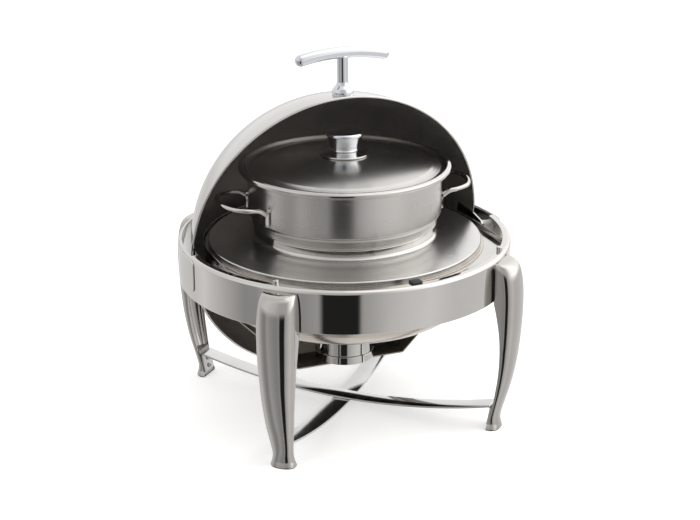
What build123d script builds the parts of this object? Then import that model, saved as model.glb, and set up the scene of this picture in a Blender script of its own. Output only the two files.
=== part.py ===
from build123d import *
import math
import os

# Round roll-top soup-station chafing dish, with its lid rolled open.
# Frame: +Z up, origin on the floor on the common vertical axis.
# +X runs along the lid hinge axis to the right, -Y is the serving side (front).
# Outlines of turned parts are (radius, z). Parts repeated round the axis are drawn
# on +X and then turned.

os.makedirs("parts", exist_ok=True)

# ---------------------------------------------------------------- shared dimensions
SIDES = (-1, 1)         # left, right
COS45 = math.sqrt(0.5)
REACH = 300.0           # farther out than any part, for cutting boxes
GAP = 0.02              # gap between touching parts
WIDE_GAP = 0.03

SHEET = 1.5             # sheet thickness of band, seat and hinge covers
BAND_R = 240.0          # outside radius of the frame band
BAND_INNER_R = BAND_R - SHEET
BAND_BOTTOM = 203.0
BAND_TOP = 264.5        # top of the band lip
BAND_ROUND = 6.0        # radius where the band turns into its lip
BAND_EDGE = 0.8         # radius of its lower outside edge
BAND_FLANGE = 2.5       # inward turn at its lower edge
LIP_R = 227.5           # inner edge of the front lip
REAR_LIP_R = 235.0      # inner edge of the rear lip
REAR_LIP_Y = -13.0      # the lip is cut back behind this line

SEAT_R = 204.5          # outside radius of the pan seat at the rear, half width at the sides
SEAT_FRONT_R = 231.0    # outside radius on the serving side
SEAT_CORNER = 26.0      # corner radius between side and front arc
SEAT_FLOOR = 251.0      # underside of the seat floor
SEAT_HOLE_R = 192.5     # opening the water pan hangs through
SEAT_WALL_TOP = 260.5   # top of the upstand at sides and rear
SEAT_STEP_Y = -104.0    # the upstand is low behind this line
SKIRT_R = 203.0
SKIRT_BOTTOM = 197.0

HINGE_Z = 245.0         # hinge axis height
PIN_R = 4.0             # hinge pin radius
LEG_SCREW_R = 2.5
LEG_SCREW_Z = (219.0, 239.0)
SMALL_SCREW_R = 2.0     # strap and bracket screws
LEG_ANGLES = {"front_left": -133.6, "front_right": -46.4, "rear_left": 133.6, "rear_right": 46.4}

BRACKET_SCREW_Z = 206.0
BRACKET_SCREWS = [(side, y) for side in SIDES for y in (-14, 14)]


# ---------------------------------------------------------------- helpers
def arc_mid(r, z, radius, up=1):
    """Middle of an outside quarter arc about (r, z), on the upper or lower (up=-1) side."""
    return r + radius * COS45, z + up * radius * COS45


def outline_face(outline):
    """Closed face in the XZ plane.

    An item is a point, or a pair (middle, end) for an arc through middle to end."""
    edges = []
    start = current = outline[0]
    for item in outline[1:] + [start]:
        if isinstance(item[0], tuple):
            middle, end = item
            edges.append(ThreePointArc(in_xz(current), in_xz(middle), in_xz(end)))
            current = end
        else:
            if abs(item[0] - current[0]) + abs(item[1] - current[1]) > 1e-6:
                edges.append(Line(in_xz(current), in_xz(item)))
            current = item
    return Face(Wire(edges))


def in_xz(point):
    return point[0], 0, point[1]


def turned(outline):
    """Solid of revolution about Z."""
    return revolve(outline_face(outline), Axis.Z, 360.0)


def cyl(r, z0, z1, x=0.0, y=0.0):
    return Pos(x, y, (z0 + z1) / 2) * Cylinder(r, z1 - z0)


def xcyl(r, x0, x1, y=0.0, z=0.0):
    """Cylinder lying along X."""
    return Pos((x0 + x1) / 2, y, z) * Rot(0, 90, 0) * Cylinder(r, abs(x1 - x0))


def box(x0, x1, y0, y1, z0, z1):
    return Pos((x0 + x1) / 2, (y0 + y1) / 2, (z0 + z1) / 2) * Box(abs(x1 - x0), y1 - y0, z1 - z0)


def polar(angle, shape):
    return Rot(0, 0, angle) * shape


def at_legs(shape):
    return [polar(angle, shape) for angle in LEG_ANGLES.values()]


def circles(shape):
    return shape.edges().filter_by(GeomType.CIRCLE)


def largest(shape):
    return max(shape.solids(), key=lambda solid: solid.volume)


def save(name, *shapes):
    solids = []
    for shape in shapes:
        solids.extend(shape.solids())
    part = solids[0] if len(solids) == 1 else Compound(children=solids)
    part.label = name
    export_step(part, "parts/" + name + ".step")


def pan_head(head_r, shank_r, head_h, length):
    """Cross-recessed screw: shank along +Z from 0, head below 0."""
    head = Pos(0, 0, -head_h / 2) * Cylinder(head_r, head_h)
    rim = [e for e in circles(head) if e.center().Z < -head_h + 0.01]
    screw = fillet(rim, head_h * 0.55)
    screw += Pos(0, 0, length / 2) * Cylinder(shank_r, length)
    slot, width, depth = head_r * 1.1, 0.9, head_h * 1.1
    return screw - Pos(0, 0, -head_h) * (Box(slot, width, depth) + Box(width, slot, depth))


# ---------------------------------------------------------------- frame band
def frame_band():
    round_r, round_z = BAND_R - BAND_ROUND, BAND_TOP - BAND_ROUND
    inner_round = BAND_ROUND - SHEET
    edge_r, edge_z = BAND_R - BAND_EDGE, BAND_BOTTOM + BAND_EDGE
    lip_end = LIP_R + 0.7
    band = turned([
        (BAND_R, edge_z),
        (BAND_R, round_z),
        (arc_mid(round_r, round_z, BAND_ROUND), (round_r, BAND_TOP)),
        (lip_end, BAND_TOP),
        ((LIP_R, BAND_TOP - SHEET / 2), (lip_end, BAND_TOP - SHEET)),
        (round_r, BAND_TOP - SHEET),
        (arc_mid(round_r, round_z, inner_round), (BAND_INNER_R, round_z)),
        (BAND_INNER_R, BAND_BOTTOM + SHEET),
        (BAND_INNER_R - BAND_FLANGE, BAND_BOTTOM + SHEET),
        (BAND_INNER_R - BAND_FLANGE, BAND_BOTTOM),
        (edge_r, BAND_BOTTOM),
        (arc_mid(edge_r, edge_z, BAND_EDGE, up=-1), (BAND_R, edge_z)),
    ])
    # the rear lip is cut back so the lid can roll down inside the band
    front = box(-REACH, REACH, -REACH, REAR_LIP_Y, 0, 400)
    band -= cyl(REAR_LIP_R, BAND_TOP - 6, BAND_TOP + 2) - front
    band -= xcyl(PIN_R, -260, -230, 0, HINGE_Z) + xcyl(PIN_R, 230, 260, 0, HINGE_Z)
    for angle in LEG_ANGLES.values():
        for z in LEG_SCREW_Z:
            band -= polar(angle, xcyl(LEG_SCREW_R, 230, 245, 0, z))
    return band


save("frame_band", frame_band())


# ---------------------------------------------------------------- pan seat
def seat_block(inset, z0, z1):
    """Plan: half circle at the rear, straight sides, wide arc on the serving side."""
    half = SEAT_R - inset
    rear = cyl(half, z0, z1)
    front = cyl(SEAT_FRONT_R - inset, z0, z1) & box(-half, half, -REACH, 0, z0 - 1, z1 + 1)
    block = rear + front
    corners = [e for e in block.edges().filter_by(Axis.Z)
               if e.center().Y < -60 and abs(abs(e.center().X) - half) < 1.0]
    return fillet(corners, SEAT_CORNER - inset)


def pan_seat():
    seat = seat_block(0, SEAT_FLOOR, BAND_TOP - SHEET)
    seat -= seat_block(SHEET, SEAT_FLOOR + SHEET, BAND_TOP + 2)
    seat -= box(-REACH, REACH, SEAT_STEP_Y, REACH, SEAT_WALL_TOP, 300)
    seat -= cyl(SEAT_HOLE_R, SEAT_FLOOR - 1, SEAT_FLOOR + 5)
    skirt_hollow = cyl(SKIRT_R - SHEET, SKIRT_BOTTOM - 1, SEAT_FLOOR + 0.5)
    seat += cyl(SKIRT_R, SKIRT_BOTTOM, SEAT_FLOOR) - skirt_hollow
    # lifting notch on the serving side, a little to the right
    notch = cyl(227.0, SEAT_FLOOR - 2, SEAT_FLOOR + 5) - cyl(214.0, SEAT_FLOOR - 3, SEAT_FLOOR + 6)
    seat -= notch & polar(-72.5, Pos(220, 0, SEAT_FLOOR) * Box(40, 38, 20))
    for side, y in BRACKET_SCREWS:
        seat -= xcyl(SMALL_SCREW_R, side * 190, side * 215, y, BRACKET_SCREW_Z)
    return seat


save("pan_seat", pan_seat())

# ---------------------------------------------------------------- hinge hardware on the frame
# distances from the centre along the hinge axis
PIN_HEAD_IN, PIN_HEAD_OUT, PIN_END = 214.6, 218.2, 239.9
WASHER_IN, BUSH_IN, BUSH_OUT = 220.55, 222.1, 238.3


def hinge_ring(side, r, x0, x1):
    hole = xcyl(PIN_R, side * 215, side * 245, 0, HINGE_Z)
    return xcyl(r, side * x0, side * x1, 0, HINGE_Z) - hole


def hinge_pin(side):
    pin = xcyl(PIN_R, side * PIN_HEAD_IN, side * PIN_END, 0, HINGE_Z)
    head = xcyl(7.0, side * PIN_HEAD_IN, side * PIN_HEAD_OUT, 0, HINGE_Z)
    rim = [e for e in circles(head) if abs(abs(e.center().X) - PIN_HEAD_IN) < 0.1]
    return pin + fillet(rim, 1.4)


save("hinge_bushes", *[hinge_ring(side, 8.5, BUSH_IN, BUSH_OUT) for side in SIDES])
save("hinge_pins", *[hinge_pin(side) for side in SIDES])
save("hinge_washers", *[hinge_ring(side, 9.5, WASHER_IN, BUSH_IN) for side in SIDES])

COVER_HALF_ANGLE = 7.0
COVER_BOTTOM = 215.0
COVER_TOP = 262.0


def hinge_cover(side):
    """Rounded plate wrapped round the outside of the band."""
    half_width = (BAND_R + SHEET) * math.sin(math.radians(COVER_HALF_ANGLE))
    plane = Plane(origin=(side * 225, 0, (COVER_BOTTOM + COVER_TOP) / 2),
                  x_dir=(0, 1, 0), z_dir=(1, 0, 0))
    plate = RectangleRounded(2 * half_width, COVER_TOP - COVER_BOTTOM, 8.0)
    blank = extrude(plane * plate, side * 30)
    shell = (cyl(BAND_R + GAP + SHEET, COVER_BOTTOM - 1, COVER_TOP)
             - cyl(BAND_R + GAP, COVER_BOTTOM - 2, COVER_TOP + 1))
    return shell & blank


save("hinge_cover_left", hinge_cover(-1))
save("hinge_cover_right", hinge_cover(1))


# ---------------------------------------------------------------- studs and bumper on the lip
def guide_stud(angle, radius):
    stud = cyl(4.2, BAND_TOP, BAND_TOP + 6.0, radius, 0)
    rim = [e for e in circles(stud) if e.center().Z > BAND_TOP + 5]
    return polar(angle, fillet(rim, 1.2))


def front_bumper():
    """Block hooked over the inner edge of the front lip."""
    inner, outer, lip, top, bottom = 219.8, 233.2, LIP_R - 0.2, 267.6, 258.5
    profile = [(inner, top), (outer, top), (outer, BAND_TOP), (lip, BAND_TOP),
               (lip, bottom), (inner, bottom)]
    bumper = extrude(outline_face(profile), 7.5, both=True)
    bumper = fillet([e for e in bumper.edges() if e.center().Z > top - 0.1], 0.9)
    return polar(-87.8, bumper)


save("lid_guide_studs", guide_stud(-42.5, 231.0), guide_stud(-136.0, 229.6))
save("front_bumper", front_bumper())

# ---------------------------------------------------------------- legs
LEG_WALL = 1.6
PAD_H = 1.5
# z, back radius, front radius, half width
LEG = [
    (258.0, 236.0, 250.5, 22.6), (256.8, 236.0, 255.5, 24.2), (253.5, 236.0, 260.5, 25.4),
    (247.0, 236.0, 264.8, 26.5), (236.0, 236.0, 268.2, 27.4), (220.0, 236.5, 270.5, 28.0),
    (203.0, 239.0, 271.4, 28.0), (180.0, 244.0, 271.3, 27.7), (150.0, 248.3, 269.9, 26.6),
    (115.0, 249.0, 266.6, 24.6), (85.0, 246.6, 261.6, 22.3), (62.0, 243.0, 256.4, 20.2),
    (44.0, 239.6, 251.2, 18.0), (30.0, 236.4, 247.2, 16.3), (19.0, 233.6, 244.8, 15.4),
    (11.0, 231.6, 244.8, 15.9), (5.0, 230.0, 246.2, 17.5), (PAD_H, 229.4, 247.1, 18.4),
]
CROWN_POWER = 2 / 2.3   # superellipse of the crowned face
CROWN_STEPS = 12


def leg_section(z, back, front, half_width, inset=0.0, extend=0.0):
    """U-shaped section in the plane z: straight flanks and a crowned outer face.

    inset shrinks the face and flanks, extend moves the back toward the axis."""
    front -= inset
    half_width -= inset
    back -= extend
    shoulder = front - min(front - back, 0.72 * half_width)
    has_flanks = shoulder - back > 0.5
    points = []
    if has_flanks:
        points.append((back, -half_width, z))
    for i in range(CROWN_STEPS + 1):
        angle = -math.pi / 2 + math.pi * i / CROWN_STEPS
        c, s = max(math.cos(angle), 0.0), math.sin(angle)
        points.append((shoulder + (front - shoulder) * c ** CROWN_POWER,
                       half_width * math.copysign(abs(s) ** CROWN_POWER, s), z))
    if has_flanks:
        points.append((back, half_width, z))
    return Face(Wire([Spline(*points), Line(points[-1], points[0])]))


def leg_loft(rows, inset=0.0, extend=0.0):
    return loft([leg_section(*row, inset=inset, extend=extend) for row in rows])


# the hollow starts below the leg's top and runs out through its foot
top_z, top_back, top_front, top_half = LEG[1]
HOLLOW = [(top_z - 0.9, top_back, top_front - 1.0, top_half - 0.6)] + LEG[2:]
HOLLOW[-1] = (PAD_H - 1.0,) + LEG[-1][1:]

leg = leg_loft(LEG) - leg_loft(HOLLOW, inset=LEG_WALL, extend=8.0)
leg -= cyl(BAND_R + GAP, 199, 263)
leg = largest(leg)
for place, leg_angle in LEG_ANGLES.items():
    save("leg_" + place, polar(leg_angle, leg))

# The end tabs of the cross straps lean outward going up; this is their outer face line.
TAB_FOOT_R, TAB_FOOT_Z = 231.6, 7.0
TAB_TOP_R, TAB_TOP_Z = 237.6, 40.0
TAB_SLOPE = (TAB_TOP_R - TAB_FOOT_R) / (TAB_TOP_Z - TAB_FOOT_Z)
TAB_ANGLE = math.degrees(math.atan(TAB_SLOPE))
TAB_SCREW_Z = (13.5, 26.0)


def tab_radius(z):
    return TAB_FOOT_R + (z - TAB_FOOT_Z) * TAB_SLOPE


def tab_place(z):
    """Place on the tab's outer face at height z, local +Z along its outward normal."""
    return Pos(tab_radius(z), 0, z) * Rot(0, 90 + TAB_ANGLE, 0)


def tab_hole(z):
    return tab_place(z) * Cylinder(SMALL_SCREW_R, 18)


def leg_top_block(fill):
    """Block inside the leg, against the outside of the band."""
    block = (fill & box(225, 262, -60, 60, 211, 247)) - cyl(BAND_R + WIDE_GAP, 200, 263)
    for z in LEG_SCREW_Z:
        block -= xcyl(LEG_SCREW_R, 230, 252, 0, z)
    return largest(block)


def leg_foot_block(fill):
    """Block inside the foot, its back cut along the strap tab."""
    cut = outline_face([(200, -30), (tab_radius(-30), -30), (tab_radius(100), 100), (200, 100)])
    block = (fill & box(200, 280, -60, 60, PAD_H, 42)) - extrude(cut, 60, both=True)
    for z in TAB_SCREW_Z:
        block -= tab_hole(z)
    return largest(block)


leg_fill = leg_loft(HOLLOW, inset=LEG_WALL + WIDE_GAP, extend=8.0)
save("leg_top_blocks", *at_legs(leg_top_block(leg_fill)))
save("leg_foot_blocks", *at_legs(leg_foot_block(leg_fill)))

_, foot_back, foot_front, foot_half = LEG[-1]
pad_face = leg_section(0.0, foot_back + 0.6, foot_front - 0.8, foot_half - 0.8)
save("foot_pads", *at_legs(extrude(pad_face, PAD_H, dir=(0, 0, 1))))

leg_screw = pan_head(4.6, LEG_SCREW_R, 2.8, 13.0)
save("leg_screws", *[
    polar(angle, Pos(BAND_INNER_R - 0.07, 0, z) * Rot(0, 90, 0) * leg_screw)
    for angle in LEG_ANGLES.values() for z in LEG_SCREW_Z])

# ---------------------------------------------------------------- cross straps
STRAP_W = 27.0
STRAP_T = 3.0
STRAP_STEPS = 8


def mirrored(points):
    return [(-r, z) for r, z in points[::-1]]


def bend_mid(strap_end, tab_end, r_share, z_share):
    """Middle point of the bend between the strap's curve and its tab."""
    return (strap_end[0] + (tab_end[0] - strap_end[0]) * r_share,
            tab_end[1] + (strap_end[1] - tab_end[1]) * z_share)


def tab_edges(points):
    """Edges of one end: bend, face, tip, face, bend."""
    p = [in_xz(point) for point in points]
    return [ThreePointArc(*p[0:3]), Line(p[2], p[3]), Line(p[3], p[4]), Line(p[4], p[5]),
            ThreePointArc(*p[5:8])]


def cross_strap(middle_z):
    """Strap along X, its underside at middle_z in the middle, curving up to both tabs."""
    bend_z = TAB_TOP_Z - 1.0
    bend_r = tab_radius(bend_z)
    curve_end = bend_r - 4.0
    rise = bend_z - (middle_z + STRAP_T)
    wall_r = STRAP_T / math.cos(math.radians(TAB_ANGLE))    # tab thickness measured level

    radii = [curve_end * i / STRAP_STEPS for i in range(STRAP_STEPS + 1)]
    upper = [(r, middle_z + STRAP_T + rise * (r / bend_r) ** 2) for r in radii]
    lower = []
    for r, z in upper:
        slope = 2 * rise * r / bend_r ** 2
        length = math.hypot(1, slope)
        lower.append((r + STRAP_T * slope / length, z - STRAP_T / length))
    lower[-1] = (bend_r - wall_r - 3.2, lower[-1][1])

    # the upper curve runs into the tab's inner-side bend start, the lower into its back
    outer_z = bend_z - 3.5
    outer_top = (tab_radius(outer_z), outer_z)
    inner_z = lower[-1][1] - 3.0
    inner_top = (tab_radius(inner_z) - wall_r, inner_z)
    end = [
        upper[-1], bend_mid(upper[-1], outer_top, 0.74, 0.76), outer_top,
        (TAB_FOOT_R, TAB_FOOT_Z), (TAB_FOOT_R - wall_r, TAB_FOOT_Z),
        inner_top, bend_mid(lower[-1], inner_top, 0.72, 0.74), lower[-1],
    ]
    top_line = mirrored(upper)[:-1] + upper
    bottom_line = mirrored(lower)[:-1] + lower
    edges = [Spline(*[in_xz(p) for p in top_line])]
    edges += tab_edges(end)
    edges.append(Spline(*[in_xz(p) for p in bottom_line[::-1]]))
    edges += tab_edges(mirrored(end))
    strap = extrude(Face(Wire(edges)), STRAP_W / 2, both=True)
    for z in TAB_SCREW_Z:
        strap -= tab_hole(z)
        strap -= polar(180, tab_hole(z))
    return strap


# each strap joins two diagonally opposite legs; the upper one crosses over the lower
save("cross_strap_lower", polar(LEG_ANGLES["front_left"], cross_strap(2.6)))
save("cross_strap_upper", polar(LEG_ANGLES["front_right"], cross_strap(5.75)))
strap_screw = pan_head(3.7, SMALL_SCREW_R, 2.2, 11.0)
save("strap_screws", *[
    polar(angle, tab_place(z) * Pos(0, 0, -STRAP_T) * strap_screw)
    for angle in LEG_ANGLES.values() for z in TAB_SCREW_Z])

# ---------------------------------------------------------------- fuel bracket
BRACKET_HALF = 84.0     # half length of the flat
BRACKET_W = 50.0
BRACKET_Z = 71.5        # underside of the flat
BRACKET_T = 2.0
BRACKET_TOP = 216.0
BRACKET_END_X = 199.6   # outside of the upright ends


def fuel_bracket():
    inner_x = BRACKET_END_X - BRACKET_T
    arm_top = BRACKET_Z + (BRACKET_END_X - BRACKET_HALF)    # the arm rises at 45 degrees
    miter = BRACKET_T * math.tan(math.radians(22.5))
    half = [
        (BRACKET_HALF, BRACKET_Z), (BRACKET_END_X, arm_top), (BRACKET_END_X, BRACKET_TOP),
        (inner_x, BRACKET_TOP), (inner_x, arm_top + miter),
        (BRACKET_HALF - miter, BRACKET_Z + BRACKET_T),
    ]
    bracket = extrude(outline_face(half + mirrored(half)), BRACKET_W / 2, both=True)
    for side, y in BRACKET_SCREWS:
        bracket -= xcyl(SMALL_SCREW_R, side * 190, side * 205, y, BRACKET_SCREW_Z)
    return bracket


save("fuel_bracket", fuel_bracket())
bracket_screw = pan_head(3.7, SMALL_SCREW_R, 2.2, 7.5)
save("bracket_screws", *[
    Pos(side * SKIRT_R, y, BRACKET_SCREW_Z) * Rot(0, -90 * side, 0) * bracket_screw
    for side, y in BRACKET_SCREWS])

# ---------------------------------------------------------------- fuel cup and damper
CUP_R = 44.0
CUP_TOP = 122.0
CUP_BOTTOM = BRACKET_Z + BRACKET_T + GAP
DAMPER_PIN_R = 2.5
DAMPER_ANGLE = math.radians(148.0)      # damper pivot, at the left rear
DAMPER_XY = ((CUP_R + 1.2) * math.cos(DAMPER_ANGLE), (CUP_R + 1.2) * math.sin(DAMPER_ANGLE))
DAMPER_Z = (CUP_TOP + 0.3, CUP_TOP + 1.7)
WASHER_TOP = CUP_TOP + 3.2


def fuel_cup():
    z = CUP_BOTTOM
    neck = CUP_R - 2.2
    bore = CUP_R - 4.2
    cup = turned([
        (0, z), (CUP_R - 1.0, z), ((CUP_R - 0.3, z + 0.3), (CUP_R, z + 1.0)), (CUP_R, z + 11.0),
        ((CUP_R - 0.35, z + 11.8), (CUP_R - 1.6, z + 12.2)),
        ((neck, z + 12.8), (neck, z + 13.6)),
        (neck, CUP_TOP - 1.0), ((CUP_R - 2.5, CUP_TOP - 0.3), (CUP_R - 3.2, CUP_TOP)),
        (bore, CUP_TOP), (bore, z + 2.0), (0, z + 2.0)])
    grip = cyl(54.0, 92.0, 93.6) - cyl(CUP_R - 3.0, 91, 95)
    cup += grip & polar(-12, box(30, 60, -9, 9, 90, 96))
    lug = cyl(6.0, CUP_TOP - 9.0, CUP_TOP - 1.0, *DAMPER_XY)
    cup += lug - cyl(CUP_R - 3.0, CUP_TOP - 12, CUP_TOP + 3)
    return cup - cyl(DAMPER_PIN_R, CUP_TOP - 15, CUP_TOP + 5, *DAMPER_XY)


def damper_cover():
    """Disc with a pivot eye and a tongue reaching to the front right."""
    cover = cyl(CUP_R - 1.0, *DAMPER_Z) + cyl(7.0, *DAMPER_Z, *DAMPER_XY)
    tip = CUP_R + 26
    cover += polar(-32, box(CUP_R - 5, tip, -5, 5, *DAMPER_Z) + cyl(5, *DAMPER_Z, tip, 0))
    return cover - cyl(DAMPER_PIN_R + 0.05, CUP_TOP - 5, CUP_TOP + 9, *DAMPER_XY)


save("fuel_cup", fuel_cup())
save("damper_pin", cyl(DAMPER_PIN_R, CUP_TOP - 9.0, WASHER_TOP, *DAMPER_XY)
     + cyl(4.2, WASHER_TOP, CUP_TOP + 5.2, *DAMPER_XY))
save("damper_cover", damper_cover())
save("damper_washer", cyl(5.0, CUP_TOP + 1.9, WASHER_TOP, *DAMPER_XY)
     - cyl(DAMPER_PIN_R, CUP_TOP - 5, CUP_TOP + 9, *DAMPER_XY))

# ---------------------------------------------------------------- water pan
WALL = 1.2              # sheet of pan, adaptor ring, pot and both lids
PAN_R = 190.0
PAN_BOTTOM = 148.5
PAN_CORNER = 58.0       # outside radius of the bottom corner
PAN_FLANGE_R = 201.5
FLANGE_Z = SEAT_FLOOR + SHEET + GAP     # underside of the pan flange


def water_pan():
    corner_r, corner_z = PAN_R - PAN_CORNER, PAN_BOTTOM + PAN_CORNER
    inner = PAN_R - WALL
    return turned([
        (0, PAN_BOTTOM), (corner_r, PAN_BOTTOM),
        (arc_mid(corner_r, corner_z, PAN_CORNER, up=-1), (PAN_R, corner_z)),
        (PAN_R, FLANGE_Z - 1.6), ((PAN_R + 0.5, FLANGE_Z - 0.5), (PAN_R + 1.6, FLANGE_Z)),
        (PAN_FLANGE_R, FLANGE_Z), (PAN_FLANGE_R, FLANGE_Z + WALL),
        (inner + 2.0, FLANGE_Z + WALL), ((inner + 0.5, FLANGE_Z + 0.6), (inner, FLANGE_Z - 1.2)),
        (inner, corner_z),
        (arc_mid(corner_r, corner_z, PAN_CORNER - WALL, up=-1), (corner_r, PAN_BOTTOM + WALL)),
        (0, PAN_BOTTOM + WALL)])


save("water_pan", water_pan())

# ---------------------------------------------------------------- adaptor ring
RING_R = 197.0
COLLAR_R = 129.0
COLLAR_TOP = 283.0


def adaptor_ring():
    """Shallow cone on the pan flange, rising to a collar with a rolled rim."""
    z = FLANGE_Z + WALL + GAP
    top = COLLAR_TOP
    return turned([
        (RING_R, z), (RING_R, z + 5.6), ((RING_R - 0.6, z + 7.1), (RING_R - 2.2, z + 7.8)),
        ((165.0, z + 11.6), (138.0, z + 13.4)),
        ((132.4, z + 14.6), (129.6, z + 18.4)),
        (COLLAR_R, top - 2.2), ((COLLAR_R - 1.5, top - 0.3), (COLLAR_R - 2.6, top)),
        ((COLLAR_R - 4.2, top - 1.0), (COLLAR_R - 4.6, top - 2.8)),
        (COLLAR_R - 4.6, top - 6.0), (COLLAR_R - 3.4, top - 6.0), (COLLAR_R - 3.4, top - 2.8),
        ((COLLAR_R - 2.4, top - 1.3), (COLLAR_R - 1.2, top - 2.8)),
        (129.6 - WALL, z + 18.0), ((131.7, z + 13.6), (137.8, z + 12.2)),
        ((165.0, z + 10.4), (RING_R - 2.8, z + 6.6)),
        ((RING_R - 1.6, z + 6.2), (RING_R - WALL, z + 5.3)), (RING_R - WALL, z)])


save("adaptor_ring", adaptor_ring())

# ---------------------------------------------------------------- soup pot
POT_R = 139.0           # upper body
POT_STEP_R = 133.0      # below the upper body
POT_LOW_R = 118.0       # inside the collar
POT_BOTTOM = 198.0
POT_CORNER = 16.0
POT_RIM_Z = 364.8


def soup_pot():
    step, low, wall = POT_STEP_R, POT_LOW_R, WALL
    step_z = COLLAR_TOP + WIDE_GAP
    corner_r, corner_z = low - POT_CORNER, POT_BOTTOM + POT_CORNER
    return turned([
        (0, POT_BOTTOM), (corner_r, POT_BOTTOM),
        (arc_mid(corner_r, corner_z, POT_CORNER, up=-1), (low, corner_z)),
        (low, step_z - 3.0), ((low + 0.9, step_z - 0.9), (low + 3.0, step_z)),
        (step - 2.5, step_z), ((step - 0.7, step_z + 0.7), (step, step_z + 2.5)),
        (step, 294.0), ((step + 1.0, 297.2), (POT_R - 2.2, 299.4)),
        ((POT_R - 0.5, 300.9), (POT_R, 303.0)),
        (POT_R, 357.0), ((POT_R + 1.3, 360.3), (POT_R + 4.5, 361.6)), (148.6, 361.6),
        ((150.2, 363.2), (148.6, POT_RIM_Z)), (147.7, 364.6), (147.2, 363.8), (147.8, 362.8),
        (POT_R + 4.2, 362.8), ((POT_R + 0.3, 361.2), (POT_R - wall, 357.2)),
        (POT_R - wall, 303.3), ((POT_R - 1.6, 301.6), (POT_R - 3.0, 300.4)),
        ((step - 0.4, 297.8), (step - wall, 294.3)), (step - wall, step_z + 3.0),
        ((step - wall - 0.5, step_z + 1.7), (step - wall - 1.8, step_z + wall)),
        (low + 2.6, step_z + wall), ((low - 0.4, step_z), (low - wall, step_z - 3.2)),
        (low - wall, corner_z + 0.2),
        (arc_mid(corner_r, corner_z, POT_CORNER - wall, up=-1),
         (corner_r - 0.2, POT_BOTTOM + wall)),
        (0, POT_BOTTOM + wall)])


save("soup_pot", soup_pot())

HANDLE_Z = 327.0
HANDLE_ROOT_Y = 47.0
POT_TURN = -3.0         # the pot stands turned a little from the hinge line
# rod centre line, root to crown: x, distance from the middle in y, z above HANDLE_Z
HANDLE_HALF = [(132.2, HANDLE_ROOT_Y, -7.0), (143.0, 47.5, -0.5), (158.0, 46.5, 1.0),
               (175.0, 37.0, 2.0), (184.5, 18.0, 3.0)]
HANDLE_CROWN = (186.5, 0.0, 3.2)


def pot_handle(side):
    """Loop handle with its two root tabs."""
    points = [(x, -y, z) for x, y, z in HANDLE_HALF] + [HANDLE_CROWN] + HANDLE_HALF[::-1]
    path = Spline(*[(side * x, y, HANDLE_Z + z) for x, y, z in points])
    rod = sweep(Plane(origin=path @ 0, z_dir=path % 0) * Ellipse(3.2, 3.2), path)
    tabs = []
    for end in (-1, 1):
        angle = math.degrees(math.asin(HANDLE_ROOT_Y / POT_R)) * end
        tab = Pos(POT_R + 1.2, 0, HANDLE_Z - 12.0) * Box(2.6, 13.0, 26.0)
        tab = fillet(tab.edges().filter_by(Axis.X), 4.0)
        tabs.append(polar(angle if side > 0 else 180 - angle, tab))
    handle = rod + (tabs[0] + tabs[1])
    handle -= cyl(POT_R + WIDE_GAP, 290, 358)
    return polar(POT_TURN, largest(handle))


save("pot_handle_left", pot_handle(-1))
save("pot_handle_right", pot_handle(1))

# ---------------------------------------------------------------- pot lid and knob
POT_LID_R = 152.0
POT_LID_Z = POT_RIM_Z + WIDE_GAP
KNOB_SCREW_R = 3.0
KNOB_BASE_TOP = 389.0


def pot_lid():
    z = POT_LID_Z
    lid = turned([
        (0, 383.6), ((38, 382.45), (76, 379.0)), ((104, 374.3), (124, 369.4)),
        ((131.5, 366.6), (136.8, 365.4)), ((140.0, 365.9), (142.4, 367.8)),
        ((145.8, 370.2), (149.4, 369.4)), ((151.6, 368.2), (POT_LID_R, 366.2)),
        (POT_LID_R, z), (POT_LID_R - WALL, z), (POT_LID_R - WALL, 366.0),
        ((150.6, 367.2), (149.0, 368.2)), ((146.0, 368.9), (143.2, 366.9)),
        ((140.2, 364.6), (136.8, 364.2)), ((131.2, 365.4), (123.7, 368.2)),
        ((104, 373.1), (76, 377.8)), ((38, 381.25), (0, 382.4))])
    # bearing ring under the lid, resting on the pot rim
    lid += turned([(147.2, z), (151.2, z), (151.2, z + 1.4), (149.6, 368.0), (147.4, 368.2),
                   (146.2, z + 1.6)])
    return lid - cyl(KNOB_SCREW_R, 370, 390)


def knob_base():
    return turned([
        (KNOB_SCREW_R, 383.66), ((17.0, 383.44), (33.2, 382.82)), ((34.9, 384.2), (33.6, 385.6)),
        ((27.0, 387.8), (21.0, KNOB_BASE_TOP)), (KNOB_SCREW_R, KNOB_BASE_TOP)])


def knob():
    bottom = KNOB_BASE_TOP + GAP
    return turned([
        (KNOB_SCREW_R, bottom), (19.4, bottom), ((20.3, 389.5), (20.5, 390.6)), (20.3, 391.6),
        ((20.0, 392.2), (20.2, 393.0)), ((22.4, 402.0), (25.4, 409.6)),
        ((26.9, 413.6), (24.4, 416.3)), (12.0, 417.1), (0.0, 417.1), (0.0, 410.5),
        (KNOB_SCREW_R, 410.5)])


def knob_screw():
    screw = cyl(KNOB_SCREW_R, 380.0, 408.5) + cyl(6.5, 379.2, 382.36)
    return screw + cyl(KNOB_SCREW_R, 408.4, 410.0)


save("pot_lid", pot_lid())
save("knob_base", knob_base())
save("pot_lid_knob", knob())
save("knob_screw", knob_screw())

# ---------------------------------------------------------------- roll-top lid
# drawn closed with the origin on its hinge axis, then turned open toward the rear
LID_OPEN = 79.0
LID_R = 223.0           # outside radius of the sphere
LID_INNER_R = LID_R - WALL
LID_RIM = 27.5          # rim plane above the hinge axis when closed
BEAD_R = 1.75
BEAD_CENTRE_R = 221.6
LID_SCREW_R = 3.0
HANDLE_ELEVATION = 12.6     # on the front of the closed lid
OPEN = Pos(0, 0, HINGE_Z) * Rot(-LID_OPEN, 0, 0)
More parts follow.
